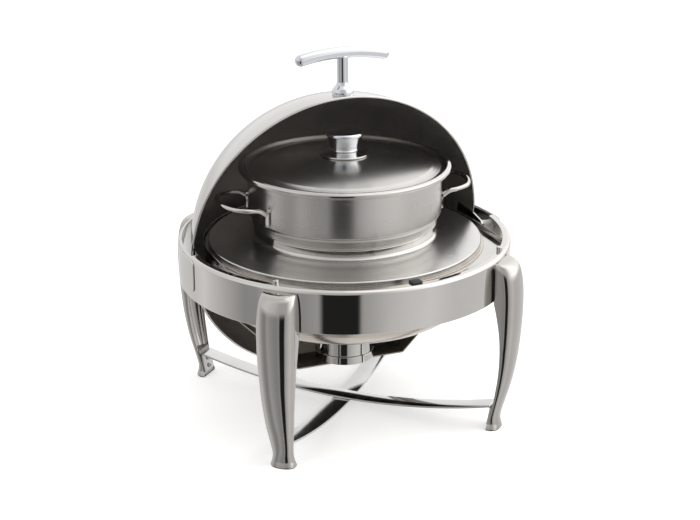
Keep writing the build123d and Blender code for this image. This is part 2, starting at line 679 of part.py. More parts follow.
# handle parts are drawn along +Z from the sphere's centre, the bar along Y
OUTWARD = Rot(0, 0, -90) * Rot(0, 90 - HANDLE_ELEVATION, 0)


def meridian(radius, z):
    """Foot at height z, and middle, of the arc from there to the top of a sphere."""
    angle = (math.asin(z / radius) + math.pi / 2) / 2
    foot = (math.sqrt(radius ** 2 - z ** 2), z)
    return foot, (radius * math.cos(angle), radius * math.sin(angle))


def lid_dome():
    bead_z = LID_RIM + BEAD_R
    outer_foot, outer_mid = meridian(LID_R, bead_z + 0.15)
    inner_foot, inner_mid = meridian(LID_INNER_R, bead_z + 0.15)
    dome = turned([outer_foot, (outer_mid, (0.0, LID_R)), (0.0, LID_INNER_R),
                   (inner_mid, inner_foot)])
    bead = Plane(origin=(BEAD_CENTRE_R, 0, bead_z), z_dir=(0, 1, 0)) * Circle(BEAD_R)
    dome = dome + revolve(bead, Axis.Z, 360)
    return dome - OUTWARD * cyl(LID_SCREW_R, 210, 230)


def lid_ear(side):
    """Strip from the hinge pin up the inside of the dome, rounded about the pin."""
    half = 10.5
    profile = [(220.4, -half), (220.4, 21.0), (218.45, 35.0), (212.6, 61.0), (210.7, 60.4),
               (216.5, 34.6), (218.4, 20.6), (218.4, -half)]
    ear = extrude(outline_face([(side * x, z) for x, z in profile]), half, both=True)
    x0, x1 = side * 200, side * 230
    ear = ear & (xcyl(half, x0, x1) + box(x0, x1, -half, half, 0, 90))
    ear -= xcyl(PIN_R + 0.05, x0, x1)
    return largest(ear)


save("lid_dome", OPEN * lid_dome())
save("lid_ear_left", OPEN * lid_ear(-1))
save("lid_ear_right", OPEN * lid_ear(1))

# ---------------------------------------------------------------- T-handle of the lid
BASE_Z = LID_R + GAP        # where the handle meets the dome
BASE_TOP = BASE_Z + 18.5
SCREW_END = BASE_Z + 34.0
BAR_Z = BASE_Z + 60.0       # bar centre line at its middle
BAR_R = 8.5
BAR_HALF = 62.5
BAR_DROP = 6.5              # how much lower the bar's ends are


def handle_base():
    foot_r, neck_r = 15.6, 8.6
    base = turned([
        (LID_SCREW_R, BASE_Z - 0.9), (foot_r, BASE_Z - 0.9), (foot_r, BASE_Z + 1.2),
        ((15.2, BASE_Z + 6.5), (12.4, BASE_Z + 11.2)), ((10.0, BASE_Z + 14.2),
                                                        (neck_r, BASE_Z + 17.5)),
        (neck_r, BASE_TOP), (LID_SCREW_R, BASE_TOP)])
    return base - Sphere(BASE_Z)


def handle_bar():
    """Arched bar with ball ends."""
    arch_r = (BAR_HALF ** 2 + BAR_DROP ** 2) / (2 * BAR_DROP)
    arch_angle = math.degrees(math.asin(BAR_HALF / arch_r))
    centre_z = BAR_Z - arch_r
    section = Plane(origin=(0, 0, BAR_Z), z_dir=(0, 1, 0)) * Circle(BAR_R)
    bar = revolve(section, Axis((0, 0, centre_z), (1, 0, 0)), 2 * arch_angle)
    # turn it back by half its arc, so that it is centred
    bar = Pos(0, 0, centre_z) * Rot(-arch_angle, 0, 0) * Pos(0, 0, -centre_z) * bar
    for end in (-1, 1):
        bar += Pos(0, end * BAR_HALF, BAR_Z - BAR_DROP) * Sphere(BAR_R)
    return bar


def handle_post(bar):
    post = cyl(8.2, BASE_TOP + GAP, BASE_Z + 56.0)
    post -= cyl(LID_SCREW_R, BASE_Z + 10, SCREW_END)
    post -= bar
    return largest(post)


def handle_screw():
    """Screw with its head against the inside of the dome."""
    shank = cyl(LID_SCREW_R, LID_INNER_R - 2.6, SCREW_END)
    head = cyl(8.0, LID_INNER_R - 3.4, LID_INNER_R - 0.1) & Sphere(LID_INNER_R - GAP)
    return head + shank


lid_bar = handle_bar()
save("lid_handle_base", OPEN * (OUTWARD * handle_base()))
save("lid_handle_post", OPEN * (OUTWARD * handle_post(lid_bar)))
save("lid_handle_bar", OPEN * (OUTWARD * lid_bar))
save("lid_handle_screw", OPEN * (OUTWARD * handle_screw()))
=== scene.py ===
# A round soup station: a mirror-finished band on four legs carries a seat, a water pan, an
# adaptor ring and a soup pot, with a fuel cup below and a domed lid swung open.
# The pot's axis is Z and the floor is z = 0. The front is -Y, right is +X, and the lid's
# hinge lies along X with the open lid at the rear. Shapes are in mm, objects in metres.
import math

import bmesh
import bpy
import numpy as np
from mathutils import Matrix, Vector


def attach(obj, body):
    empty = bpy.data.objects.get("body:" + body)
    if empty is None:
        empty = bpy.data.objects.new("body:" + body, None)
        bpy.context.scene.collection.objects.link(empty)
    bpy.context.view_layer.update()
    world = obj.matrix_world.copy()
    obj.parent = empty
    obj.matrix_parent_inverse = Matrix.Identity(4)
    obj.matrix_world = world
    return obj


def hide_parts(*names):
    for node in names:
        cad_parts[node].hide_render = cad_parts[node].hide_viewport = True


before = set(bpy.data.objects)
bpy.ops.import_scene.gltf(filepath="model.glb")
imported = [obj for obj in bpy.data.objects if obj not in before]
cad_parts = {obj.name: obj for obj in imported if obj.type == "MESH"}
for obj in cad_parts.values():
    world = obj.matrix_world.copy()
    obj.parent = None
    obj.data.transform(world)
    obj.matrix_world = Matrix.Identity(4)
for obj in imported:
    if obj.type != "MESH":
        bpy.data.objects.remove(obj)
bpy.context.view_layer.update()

MM = 0.001
Q = math.sqrt(0.5)          # places the middle of a quarter arc

# ------------------------------------------------------------------ camera placing
CAM_TURN, CAM_TILT = math.radians(-22.53), math.radians(20.22)
CAM_DIST, CAM_AIM_Z = 2.43365, 0.21525
CAM_AZIMUTH = CAM_TURN - math.pi / 2      # direction of the camera seen from the object

# ------------------------------------------------------------------ shared sizes (mm)
BAND_R, SHEET = 240.0, 1.5
SEAT_FLOOR = 251.0
HINGE_Z = 245.0
THIN = 1.2                                # sheet of the pan, adaptor ring and pot
PAN_FLANGE_Z = SEAT_FLOOR + SHEET + 0.02
DISC_Z = PAN_FLANGE_Z + THIN + 0.02
COLLAR_R, COLLAR_TOP, DISC_R = 129.0, 283.0, 197.0
POT_R, POT_STEP_R, POT_LOW_R, POT_BOT, POT_RIM_Z = 139.0, 133.0, 118.0, 198.0, 364.8
POT_SEAT_Z = COLLAR_TOP + 0.03
LID_Z = POT_RIM_Z + 0.03
LEGS = {"leg_front_left": -133.6, "leg_front_right": -46.4,
        "leg_rear_left": 133.6, "leg_rear_right": 46.4}


def turn(angle, axis="Z"):
    """Rotation matrix, angle in degrees."""
    return Matrix.Rotation(math.radians(angle), 4, axis)


def shift(x, y, z):
    return Matrix.Translation((x, y, z))


LID_OPEN = shift(0, 0, HINGE_Z * MM) @ turn(-79.0, "X")
LID_HANDLE = LID_OPEN @ turn(-90) @ turn(90 - 12.6, "Y")


# ================================================================== node helper
class Nodes:
    """Adds shader nodes and wires them; each value is a number or the socket that feeds it."""

    def __init__(self, owner):
        owner.use_nodes = True
        self.tree = owner.node_tree
        self.tree.nodes.clear()

    def add(self, kind, inputs=None, **props):
        node = self.tree.nodes.new(kind)
        for key, value in props.items():
            setattr(node, key, value)
        for key, value in (inputs or {}).items():
            self.put(node.inputs[key], value)
        return node

    def put(self, socket, value):
        if isinstance(value, bpy.types.NodeSocket):
            self.tree.links.new(value, socket)
        else:
            socket.default_value = value

    def math(self, operation, *values):
        return self.add("ShaderNodeMath", dict(enumerate(values)),
                        operation=operation).outputs[0]

    def mul_add(self, value, factor, base):
        return self.math("MULTIPLY_ADD", value, factor, base)

    def centred(self, value):
        return self.math("SUBTRACT", value, 0.5)

    def scaled(self, vector, scale):
        return self.add("ShaderNodeVectorMath", {0: vector, 1: scale},
                        operation="MULTIPLY").outputs[0]

    def rescale(self, value, low, high, kind="LINEAR"):
        """Map low..high to 0..1."""
        return self.add("ShaderNodeMapRange", {
            "Value": value, "From Min": low, "From Max": high, "To Min": 0.0, "To Max": 1.0,
        }, interpolation_type=kind).outputs[0]

    def ramp(self, value, stops):
        """stops: (position, RGB)."""
        node = self.add("ShaderNodeValToRGB", {0: value})
        elements = node.color_ramp.elements
        while len(elements) > 1:
            elements.remove(elements[-1])
        for i, (position, color) in enumerate(stops):
            element = elements[0] if i == 0 else elements.new(position)
            element.position = position
            element.color = color + (1.0,)
        return node.outputs[0]

    def mix(self, factor, first, second):
        return self.add("ShaderNodeMix", {0: factor, 6: first, 7: second},
                        data_type="RGBA").outputs[2]

    def noise(self, vector, scale, detail, rough, w=None):
        node = self.add("ShaderNodeTexNoise", noise_dimensions="3D" if w is None else "4D")
        values = {"Vector": vector, "Scale": scale, "Detail": detail, "Roughness": rough}
        if w is not None:
            values["W"] = w
        for key, value in values.items():
            self.put(node.inputs[key], value)
        return node.outputs[0]

    def edge(self, high):
        """Mask of the rims and bends."""
        point = self.add("ShaderNodeNewGeometry").outputs["Pointiness"]
        return self.rescale(point, 0.52, high)


# ================================================================== materials
def shade(color, factor, lift=0.0):
    """RGBA of a colour made lighter or darker."""
    return tuple(min(1.0, c * factor + lift) for c in color) + (1.0,)


def new_material(name):
    """Material, its nodes, its shader and the object coordinates."""
    mat = bpy.data.materials.new(name)
    net = Nodes(mat)
    out = net.add("ShaderNodeOutputMaterial")
    shader = net.add("ShaderNodeBsdfPrincipled")
    net.put(out.inputs[0], shader.outputs[0])
    return mat, net, shader, net.add("ShaderNodeTexCoord").outputs["Object"]


def grain_noises(net, place, brush, per_metre):
    """Fine grain and a seven times wider one, around Z or straight along an axis."""
    # lines per metre, variation around the ring, detail
    layers = ((per_metre, 9.0, 3.0), (per_metre / 7.0, 3.0, 2.0))
    if brush != "ring":
        stretch = {"X": (0.02, 1, 1), "Z": (1, 1, 0.02)}[brush]
        return [net.noise(net.scaled(place, tuple(c * lines for c in stretch)), 1.0, detail, 0.6)
                for lines, _, detail in layers]
    x, y, z = net.add("ShaderNodeSeparateXYZ", {0: place}).outputs
    square = net.math("ADD", net.math("MULTIPLY", x, x), net.math("MULTIPLY", y, y))
    radius = net.math("SQRT", square)
    inverse = net.math("DIVIDE", 1.0, net.math("MAXIMUM", radius, 0.002))
    unit_x, unit_y = net.math("MULTIPLY", x, inverse), net.math("MULTIPLY", y, inverse)
    result = []
    for lines, around, detail in layers:
        vector = net.add("ShaderNodeCombineXYZ", {
            0: net.math("MULTIPLY", radius, lines), 1: net.math("MULTIPLY", z, lines),
            2: net.math("MULTIPLY", unit_x, around)}).outputs[0]
        result.append(net.noise(vector, 1.0, detail, 0.6, net.math("MULTIPLY", unit_y, around)))
    return result


def metal(name, color, rough, brush=None, pitch=0.45, fine=0.05, coarse=0.03, smudge=0.03,
          bump=0.12, aniso=0.0, wave=0.0, scratch=0.35, tint=0.05, pit=0.0):
    """Polished or brushed metal.

    brush: None, 'ring' (about the object's Z), or the axis of a straight grain.
    pitch: spacing of the grain in mm; bump: its depth; aniso: its stretched highlight.
    fine, coarse, smudge, scratch: change of roughness by the grain, haze and hairlines.
    wave: slow unevenness of pressed sheet; pit: fine pitting; tint: change of colour."""
    mat, net, shader, place = new_material(name)
    level = rough
    bumps = []                  # height, strength, distance
    if brush:
        grain, wide = grain_noises(net, place, brush, 1000.0 / pitch)
        level = net.math("ADD", net.mul_add(net.centred(grain), fine * 2, level),
                         net.math("MULTIPLY", net.centred(wide), coarse * 2))
        bumps.append((grain, bump, 0.00004))
    # hand smudges and polishing haze
    broad = net.noise(place, 9.0, 5.0, 0.62)
    small = net.noise(place, 42.0, 3.0, 0.55)
    haze = net.math("ADD", net.centred(broad), net.math("MULTIPLY", net.centred(small), 0.5))
    level = net.mul_add(haze, smudge * 2, level)
    # sparse hairline scratches in two directions
    hairs = []
    for rotation, scale in (((0.3, 0.9, 0.4), (1500, 1500, 18)),
                            ((1.2, 0.2, 2.1), (18, 1300, 1300))):
        mapped = net.add("ShaderNodeMapping", {"Vector": place, "Rotation": rotation,
                                               "Scale": scale}).outputs[0]
        hairs.append(net.rescale(net.noise(mapped, 1.0, 1.0, 0.5), 0.70, 0.78))
    gate = net.rescale(net.noise(place, 17.0, 2.0, 0.5), 0.48, 0.66)
    hair = net.math("MULTIPLY", net.math("MAXIMUM", *hairs), gate)
    level = net.mul_add(hair, 0.16 * scratch, level)
    # rims and bends: lower roughness where they are rubbed smooth, and a lighter colour, which is a
    # painted highlight
    edge = net.edge(0.60)
    level = net.mul_add(edge, -0.04, level)
    level = net.math("MINIMUM", net.math("MAXIMUM", level, 0.015), 0.9)
    net.put(shader.inputs["Roughness"], level)
    tone = net.mix(net.rescale(broad, 0.3, 0.7), shade(color, 1 - tint * 2.2),
                   shade(color, 1 + tint))
    # painted highlight: lighter colour on the rims and bends
    tone = net.mix(net.math("MULTIPLY", edge, 0.5), tone, shade(color, 1.18))
    net.put(shader.inputs["Base Color"], tone)
    shader.inputs["Metallic"].default_value = 1.0
    if wave > 0:
        bumps.append((net.noise(place, 13.0, 1.0, 0.4), 1.0, wave * 0.001))
        bumps.append((net.noise(place, 60.0, 1.0, 0.4), 1.0, wave * 0.00008))
    if pit > 0:
        bumps.append((net.noise(place, 900.0, 3.0, 0.6), 0.5, pit * 0.0001))
    target = shader
    for height, strength, distance in reversed(bumps):
        node = net.add("ShaderNodeBump", {"Height": height, "Strength": strength,
                                          "Distance": distance})
        net.put(target.inputs["Normal"], node.outputs[0])
        target = node
    if aniso:
        shader.inputs["Anisotropic"].default_value = aniso
        shader.inputs["Anisotropic Rotation"].default_value = 0.25
        tangent = net.add("ShaderNodeTangent", direction_type="RADIAL", axis="Z")
        net.put(shader.inputs["Tangent"], tangent.outputs[0])
    return mat


def plastic(name, color, rough, grain, bump, mottle, spec=0.5, sss=0.0):
    """Rubber or nylon. grain: scale of the fine texture; mottle: change of colour."""
    mat, net, shader, place = new_material(name)
    texture = net.noise(place, grain, 3.0, 0.6)
    cloud = net.noise(place, 60.0, 4.0, 0.6)
    tone = net.mix(cloud, shade(color, 1 - mottle), shade(color, 1 + mottle, 0.01))
    # painted highlight: lighter colour on the edges and rims
    tone = net.mix(net.math("MULTIPLY", net.edge(0.62), 0.35), tone, shade(color, 1.25, 0.03))
    net.put(shader.inputs["Base Color"], tone)
    net.put(shader.inputs["Roughness"], net.mul_add(net.centred(cloud), 0.25, rough))
    shader.inputs["Specular IOR Level"].default_value = spec
    if sss:
        shader.inputs["Subsurface Weight"].default_value = sss
        shader.inputs["Subsurface Radius"].default_value = (1.0, 0.9, 0.8)
        shader.inputs["Subsurface Scale"].default_value = 0.0015
    node = net.add("ShaderNodeBump", {"Height": texture, "Strength": bump,
                                      "Distance": 0.00015})
    net.put(shader.inputs["Normal"], node.outputs[0])
    return mat


FINISH = {
    "band": metal("mirror_band", (0.640, 0.625, 0.605), rough=0.035, smudge=0.012, wave=0.06,
                  scratch=0.25, tint=0.02),
    "band_in": metal("band_inside", (0.60, 0.59, 0.575), rough=0.10, wave=0.06, tint=0.04),
    "leg": metal("leg_polish", (0.530, 0.515, 0.495), rough=0.085, brush="Z", pitch=0.6,
                 fine=0.02, coarse=0.02, smudge=0.02, bump=0.05, wave=0.05, tint=0.04),
    "dome": metal("dome_outside", (0.66, 0.65, 0.635), rough=0.05, brush="ring", pitch=0.7,
                  fine=0.012, coarse=0.01, smudge=0.015, bump=0.03, wave=0.05, scratch=0.3,
                  tint=0.02),
    "dome_in": metal("dome_inside", (0.68, 0.66, 0.64), rough=0.42, brush="ring", pitch=0.8,
                     fine=0.03, smudge=0.04, bump=0.05, wave=0.08),
    "seat": metal("seat_deck", (0.60, 0.59, 0.575), rough=0.13, smudge=0.035, wave=0.08,
                  tint=0.03),
    "skirt": metal("seat_skirt", (0.42, 0.41, 0.40), rough=0.22, brush="ring", pitch=0.8,
                   tint=0.04),
    "satin": metal("satin_ring", (0.64, 0.63, 0.615), rough=0.26, brush="ring", pitch=0.5,
                   fine=0.015, coarse=0.012, smudge=0.02, bump=0.03, aniso=0.5, tint=0.03),
    "pot": metal("pot_satin", (0.61, 0.595, 0.575), rough=0.26, brush="ring", pitch=0.5,
                 fine=0.02, coarse=0.02, smudge=0.02, bump=0.05, aniso=0.35, tint=0.03),
    "pot_in": metal("pot_inside", (0.50, 0.485, 0.465), rough=0.26, brush="ring", pitch=0.6,
                    aniso=0.5, tint=0.04),
    "potlid": metal("pot_lid_satin", (0.58, 0.57, 0.555), rough=0.24, brush="ring", pitch=0.5,
                    fine=0.015, coarse=0.012, smudge=0.02, bump=0.03, aniso=0.45, tint=0.03),
    "pan": metal("pan_formed", (0.60, 0.555, 0.50), rough=0.22, brush="ring", pitch=0.8,
                 coarse=0.05, smudge=0.05, bump=0.10, wave=0.10, tint=0.06),
    "cup": metal("cup_polish", (0.64, 0.63, 0.61), rough=0.06, brush="ring", pitch=0.6,
                 fine=0.015, coarse=0.015, smudge=0.02, bump=0.04, wave=0.04),
    "strap": metal("strap_polish", (0.60, 0.60, 0.60), rough=0.09, brush="X", pitch=0.7,
                   fine=0.03, bump=0.06, wave=0.08, tint=0.04),
    # painted dark reflection: the bracket steel is given a dark brown colour for the dark
    # surroundings it reflects
    "bracket": metal("bracket_steel_painted_dark", (0.36, 0.33, 0.30), rough=0.30, brush="X", pitch=0.8,
                     fine=0.07, coarse=0.06, smudge=0.05, tint=0.08),
    "handle": metal("handle_rod", (0.62, 0.605, 0.585), rough=0.08, smudge=0.02, wave=0.03,
                    scratch=0.4),
    "chrome": metal("chrome_plate", (0.72, 0.74, 0.78), rough=0.035, smudge=0.015, wave=0.02,
                    scratch=0.2, tint=0.02),
    "screw": metal("screw_steel", (0.50, 0.48, 0.455), rough=0.22, smudge=0.06, pit=0.6,
                   tint=0.1),
    "cast": metal("cast_block", (0.40, 0.39, 0.37), rough=0.48, smudge=0.08, pit=3.0,
                  tint=0.12, scratch=0.1),
    "rubber": plastic("black_rubber", (0.018, 0.018, 0.019), rough=0.55, grain=700.0,
                      bump=0.35, mottle=0.2, spec=0.35),
    "nylon": plastic("white_nylon", (0.80, 0.79, 0.76), rough=0.38, grain=500.0, bump=0.15,
                     mottle=0.06, sss=0.25),
}


# ================================================================== outline helpers
def arc_through(start, mid, end):
    """Points on the arc from start through mid to end, start left out."""
    (x0, y0), (x1, y1), (x2, y2) = start, mid, end
    det = 2 * (x0 * (y1 - y2) + x1 * (y2 - y0) + x2 * (y0 - y1))
    if abs(det) < 1e-9:
        return [end]
    sq0, sq1, sq2 = (x * x + y * y for x, y in (start, mid, end))
    cen_x = (sq0 * (y1 - y2) + sq1 * (y2 - y0) + sq2 * (y0 - y1)) / det
    cen_y = (sq0 * (x2 - x1) + sq1 * (x0 - x2) + sq2 * (x1 - x0)) / det
    radius = math.hypot(x0 - cen_x, y0 - cen_y)
    first, middle, last = (math.atan2(y - cen_y, x - cen_x) for x, y in (start, mid, end))
    circle = 2 * math.pi
    span = (last - first) % circle
    if (middle - first) % circle > span:
        span -= circle
    count = max(3, math.ceil(abs(span) / math.radians(10)), math.ceil(abs(span) * radius / 6.0))
    return [(cen_x + radius * math.cos(first + span * i / count),
             cen_y + radius * math.sin(first + span * i / count)) for i in range(1, count)] + [end]


def arc_at(x, y, radius, start, end, steps, last=1):
    """Points on an arc about (x, y), angles in degrees; last=0 leaves the end out."""
    angles = [math.radians(start + (end - start) * i / steps) for i in range(steps + last)]
    return [(x + radius * math.cos(a), y + radius * math.sin(a)) for a in angles]


def divided(points, step):
    """Points spaced by at least step where the lines allow it, the last one left out."""
    result = []
    for a, b in zip(points, points[1:]):
        count = max(1, int(math.dist(a, b) // step))
        result += [(a[0] + (b[0] - a[0]) * j / count, a[1] + (b[1] - a[1]) * j / count)
                   for j in range(count)]
    return result


def outline(items, radius):
    """Closed (r, z) outline with softened corners: items are points or (mid, end) arcs."""
    points, here = [items[0]], items[0]
    for item in items[1:] + [items[0]]:
        if isinstance(item[0], tuple):
            points += arc_through(here, *item)
            here = item[1]
        else:
            if math.dist(item, here) > 1e-6:
                points.append(item)
            here = item
    if math.dist(points[0], points[-1]) < 1e-6:
        points.pop()
    return soften(points, radius)


def soften(points, radius):
    """Round sharp corners; long flats get holding loops near their ends."""
    rounded = []
    for i, corner in enumerate(points):
        before, after = points[i - 1], points[(i + 1) % len(points)]
        back = (before[0] - corner[0], before[1] - corner[1])
        ahead = (after[0] - corner[0], after[1] - corner[1])
        back_len, ahead_len = math.hypot(*back), math.hypot(*ahead)
        cosine = -(back[0] * ahead[0] + back[1] * ahead[1]) / (back_len * ahead_len)
        bend = math.acos(max(-1.0, min(1.0, cosine)))
        if bend < math.radians(24) or corner[0] < 1e-6 or radius <= 0:
            rounded.append(corner)
            continue
        reach = min(radius * math.tan(bend / 2), 0.42 * back_len, 0.42 * ahead_len)
        start = [c + v / back_len * reach for c, v in zip(corner, back)]
        end = [c + v / ahead_len * reach for c, v in zip(corner, ahead)]
        steps = 4 if bend > math.radians(50) else 2
        for j in range(steps + 1):
            t = j / steps
            rounded.append(tuple((1 - t) ** 2 * s + 2 * t * (1 - t) * c + t * t * e
                                 for s, c, e in zip(start, corner, end)))
    result = []
    for i, a in enumerate(rounded):
        result.append(a)
        b = rounded[(i + 1) % len(rounded)]
        length = math.dist(a, b)
        if length > 3.0:
            hold = 0.5 / length
            inner = int(length // 14.0)
            for t in [hold] + [j / (inner + 1) for j in range(1, inner + 1)] + [1 - hold]:
                result.append((a[0] + (b[0] - a[0]) * t, a[1] + (b[1] - a[1]) * t))
    return result


def fillet_path(points, corners, steps=8):
    """Open polyline with the corners listed as {index: radius} rounded."""
    result = []
    for i, point in enumerate(points):
        if i not in corners:
            result.append(point)
            continue
        back, ahead = np.subtract(points[i - 1], point), np.subtract(points[i + 1], point)
        back_len, ahead_len = np.linalg.norm(back), np.linalg.norm(ahead)
        cosine = float(-np.dot(back, ahead) / back_len / ahead_len)
        bend = math.acos(max(-1, min(1, cosine)))
        reach = min(corners[i] * math.tan(bend / 2), 0.95 * back_len, 0.95 * ahead_len)
        radius = reach / math.tan(bend / 2)
        start = np.array(point) + back / back_len * reach
        end = np.array(point) + ahead / ahead_len * reach
        inward = back / back_len + ahead / ahead_len
        inward /= np.linalg.norm(inward)
        centre = np.array(point) + inward * math.hypot(radius, reach)
        first, last = (math.atan2(p[1] - centre[1], p[0] - centre[0]) for p in (start, end))
        span = (last - first + math.pi) % (2 * math.pi) - math.pi
        result += [(centre[0] + radius * math.cos(first + span * j / steps),
                    centre[1] + radius * math.sin(first + span * j / steps))
                   for j in range(steps + 1)]
    return result


def smoothstep(low, high, value):
    t = min(1.0, max(0.0, (value - low) / (high - low)))
    return t * t * (3 - 2 * t)


def catmull(points, steps):
    """Smooth centripetal curve through the rows of points."""
    points = np.asarray(points, float)
    count = len(points)
    curve = []
    for i in range(count - 1):
        p1, p2 = points[i], points[i + 1]
        p0 = points[i - 1] if i > 0 else 2 * points[0] - points[1]
        p3 = points[i + 2] if i + 2 < count else 2 * points[-1] - points[-2]
        d0, d1, d2 = (max(np.linalg.norm(b - a) ** 0.5, 1e-6)
                      for a, b in ((p0, p1), (p1, p2), (p2, p3)))
        slope1 = ((p1 - p0) / d0 - (p2 - p0) / (d0 + d1) + (p2 - p1) / d1) * d1
        slope2 = ((p2 - p1) / d1 - (p3 - p1) / (d1 + d2) + (p3 - p2) / d2) * d1
        for j in range(steps):
            t = j / steps
            curve.append((2 * t**3 - 3 * t**2 + 1) * p1 + (t**3 - 2 * t**2 + t) * slope1
                         + (-2 * t**3 + 3 * t**2) * p2 + (t**3 - t**2) * slope2)
    curve.append(points[-1])
    return np.array(curve)


# ================================================================== shape helpers
# A shape is (vertices in mm, faces) and may carry a zone per face, the (r, z) of its middle.
def grid_faces(rows, cols, wrap_rows=False, wrap_cols=True, first=0):
    faces = []
    for k in range(rows if wrap_rows else rows - 1):
        here, there = first + k * cols, first + (k + 1) % rows * cols
        for j in range(cols if wrap_cols else cols - 1):
            nxt = (j + 1) % cols
            faces.append((here + j, here + nxt, there + nxt, there + j))
    return faces


def closed_ring(rows):
    """Ring of closed sections: rows is sections' points x places around x 3."""
    count, around = rows.shape[:2]
    spots = [(math.hypot(x, y), z) for x, y, z in rows[:, 0]]
    zones = []
    for a, b in zip(spots, spots[1:] + spots[:1]):
        zones += [((a[0] + b[0]) / 2, (a[1] + b[1]) / 2)] * around
    return rows.reshape(-1, 3), grid_faces(count, around, wrap_rows=True), zones


def lathe(items, segments=256, radius=0.35):
    """Closed outline turned about Z; radius softens its sharp corners."""
    points = outline(items, radius)
    verts, faces, rings, zones = [], [], [], []
    angles = [2 * math.pi * j / segments for j in range(segments)]
    for r, z in points:
        first = len(verts)
        if r < 1e-6:
            rings.append([first] * segments)
            verts.append((0.0, 0.0, z))
        else:
            rings.append(list(range(first, first + segments)))
            verts += [(r * math.cos(a), r * math.sin(a), z) for a in angles]
    for i, point in enumerate(points):
        other = (i + 1) % len(points)
        a, b = rings[i], rings[other]
        zone = ((point[0] + points[other][0]) / 2, (point[1] + points[other][1]) / 2)
        for j in range(segments):
            k = (j + 1) % segments
            # corners that meet on the axis become one
            face = tuple(dict.fromkeys((a[j], b[j], b[k], a[k])))
            if len(face) > 2:
                faces.append(face)
                zones.append(zone)
    return verts, faces, zones


def tube(path, radius, segments):
    """Closed tube along path; radius is a number or one value per point."""
    path = np.asarray(path, float)
    count = len(path)
    radii = np.broadcast_to(radius, count)
    along = np.gradient(path, axis=0)
    along /= np.linalg.norm(along, axis=1)[:, None]
    side = np.cross(along[0], (0.0, 0.0, 1.0))
    side /= np.linalg.norm(side)
    verts = []
    for i in range(count):
        side = side - along[i] * np.dot(side, along[i])
        side /= np.linalg.norm(side)
        other = np.cross(along[i], side)
        for j in range(segments):
            t = 2 * math.pi * j / segments
            verts.append(path[i] + radii[i] * (side * math.cos(t) + other * math.sin(t)))
    faces = grid_faces(count, segments)
    faces.append(tuple(range(segments))[::-1])
    faces.append(tuple((count - 1) * segments + j for j in range(segments)))
    return np.array(verts), faces


def ribbon(path, thick, half, side=1):
    """Flat bar on an (x, z) path, thickened to the right of travel (side=1), y +-half."""
    path = np.asarray(path, float)
    n = len(path)
    legs = path[1:] - path[:-1]
    legs /= np.linalg.norm(legs, axis=1)[:, None]
    sums = legs[1:] + legs[:-1]
    lengths = np.linalg.norm(sums, axis=1)[:, None]
    along = np.concatenate([legs[:1], sums / lengths, legs[-1:]])
    normals = np.stack([along[:, 1], -along[:, 0]], 1) * side
    stretch = np.ones(n)
    stretch[1:-1] = 2.0 / lengths[:, 0]
    other = path + normals * thick * np.minimum(stretch, 1.3)[:, None]
    # four runs of n vertices: path and other at -half, then the same at +half
    verts = [(x, y, z) for y in (-half, half) for line in (path, other) for x, z in line]
    faces = []
    for i in range(n - 1):
        faces += [(i, i + 1, 2 * n + i + 1, 2 * n + i),
                  (n + i, 3 * n + i, 3 * n + i + 1, n + i + 1),
                  (i, n + i, n + i + 1, i + 1),
                  (2 * n + i, 2 * n + i + 1, 3 * n + i + 1, 3 * n + i)]
    faces.append((0, 2 * n, 3 * n, n))
    faces.append((n - 1, 2 * n - 1, 4 * n - 1, 3 * n - 1))
    return verts, faces


def extruded(low, high):
    """Solid between two matching polygons."""
    n = len(low)
    faces = [tuple(range(n)), tuple(range(2 * n - 1, n - 1, -1))]
    faces += [(i, (i + 1) % n, n + (i + 1) % n, n + i) for i in range(n)]
    return low + high, faces


def wrapped_plate(inner_r, outer_r, half, z0, z1, corner, sign=1, steps=9):
    """Plate with rounded corners lying on a cylinder; sign is the side in x."""
    mid_z = (z0 + z1) / 2
    tall = (z1 - z0) / 2
    loop = []
    for y, z, angle in ((half - corner, tall - corner, 0), (-half + corner, tall - corner, 90),
                        (-half + corner, -tall + corner, 180), (half - corner, -tall + corner, 270)):
        loop += arc_at(y, z, corner, angle, angle + 90, 8)
    loop = divided(loop + [loop[0]], 3.0)
    n = len(loop)
    scales = [1.0, 0.985] + [1.0 - (i + 1) / steps for i in range(steps - 1)]
    verts, faces, firsts = [], [], []
    for radius in (outer_r, inner_r):
        firsts.append(len(verts))
        for scale in scales:
            for a, b in loop:
                y, z = a * scale, b * scale
                verts.append((sign * math.sqrt(radius * radius - y * y), y, mid_z + z))
        verts.append((sign * radius, 0.0, mid_z))
    for first in firsts:
        faces += grid_faces(len(scales), n, first=first)
        centre = first + len(scales) * n
        last = centre - n
        faces += [(last + j, last + (j + 1) % n, centre) for j in range(n)]
    outer, inner = firsts
    for j in range(n):
        k = (j + 1) % n
        faces.append((outer + j, inner + j, inner + k, outer + k))
    return verts, faces


def moved(shape, matrix):
    verts = np.asarray(shape[0], float)
    place = np.array(matrix.to_translation())
    return verts @ np.array(matrix.to_3x3()).T + place, shape[1]


def push_out(shape, radius):
    """Press the vertices nearer to Z than radius onto that cylinder."""
    for vert in shape[0]:
        r = math.hypot(vert[0], vert[1])
        if r < radius:
            vert[:2] *= radius / r
    return shape


# ================================================================== object helpers
def new_object(name, shapes, pick=None):
    """Join shapes to one linked object; pick turns a zone of the first into a slot number."""
    verts, faces = [], []
    for shape in shapes:
        first = len(verts)
        verts += [tuple(float(c) * MM for c in vert) for vert in shape[0]]
        faces += [tuple(i + first for i in face) for face in shape[1]]
    mesh = bpy.data.meshes.new(name)
    mesh.from_pydata(verts, [], faces)
    if pick:
        for poly, zone in zip(mesh.polygons, shapes[0][2]):
            poly.material_index = int(pick(*zone))
    work = bmesh.new()
    work.from_mesh(mesh)
    bmesh.ops.remove_doubles(work, verts=work.verts, dist=1e-7)
    bmesh.ops.recalc_face_normals(work, faces=work.faces)
    work.to_mesh(mesh)
    work.free()
    return link(name, mesh)


def link(name, data):
    ob = bpy.data.objects.new(name, data)
    bpy.context.scene.collection.objects.link(ob)
    return ob


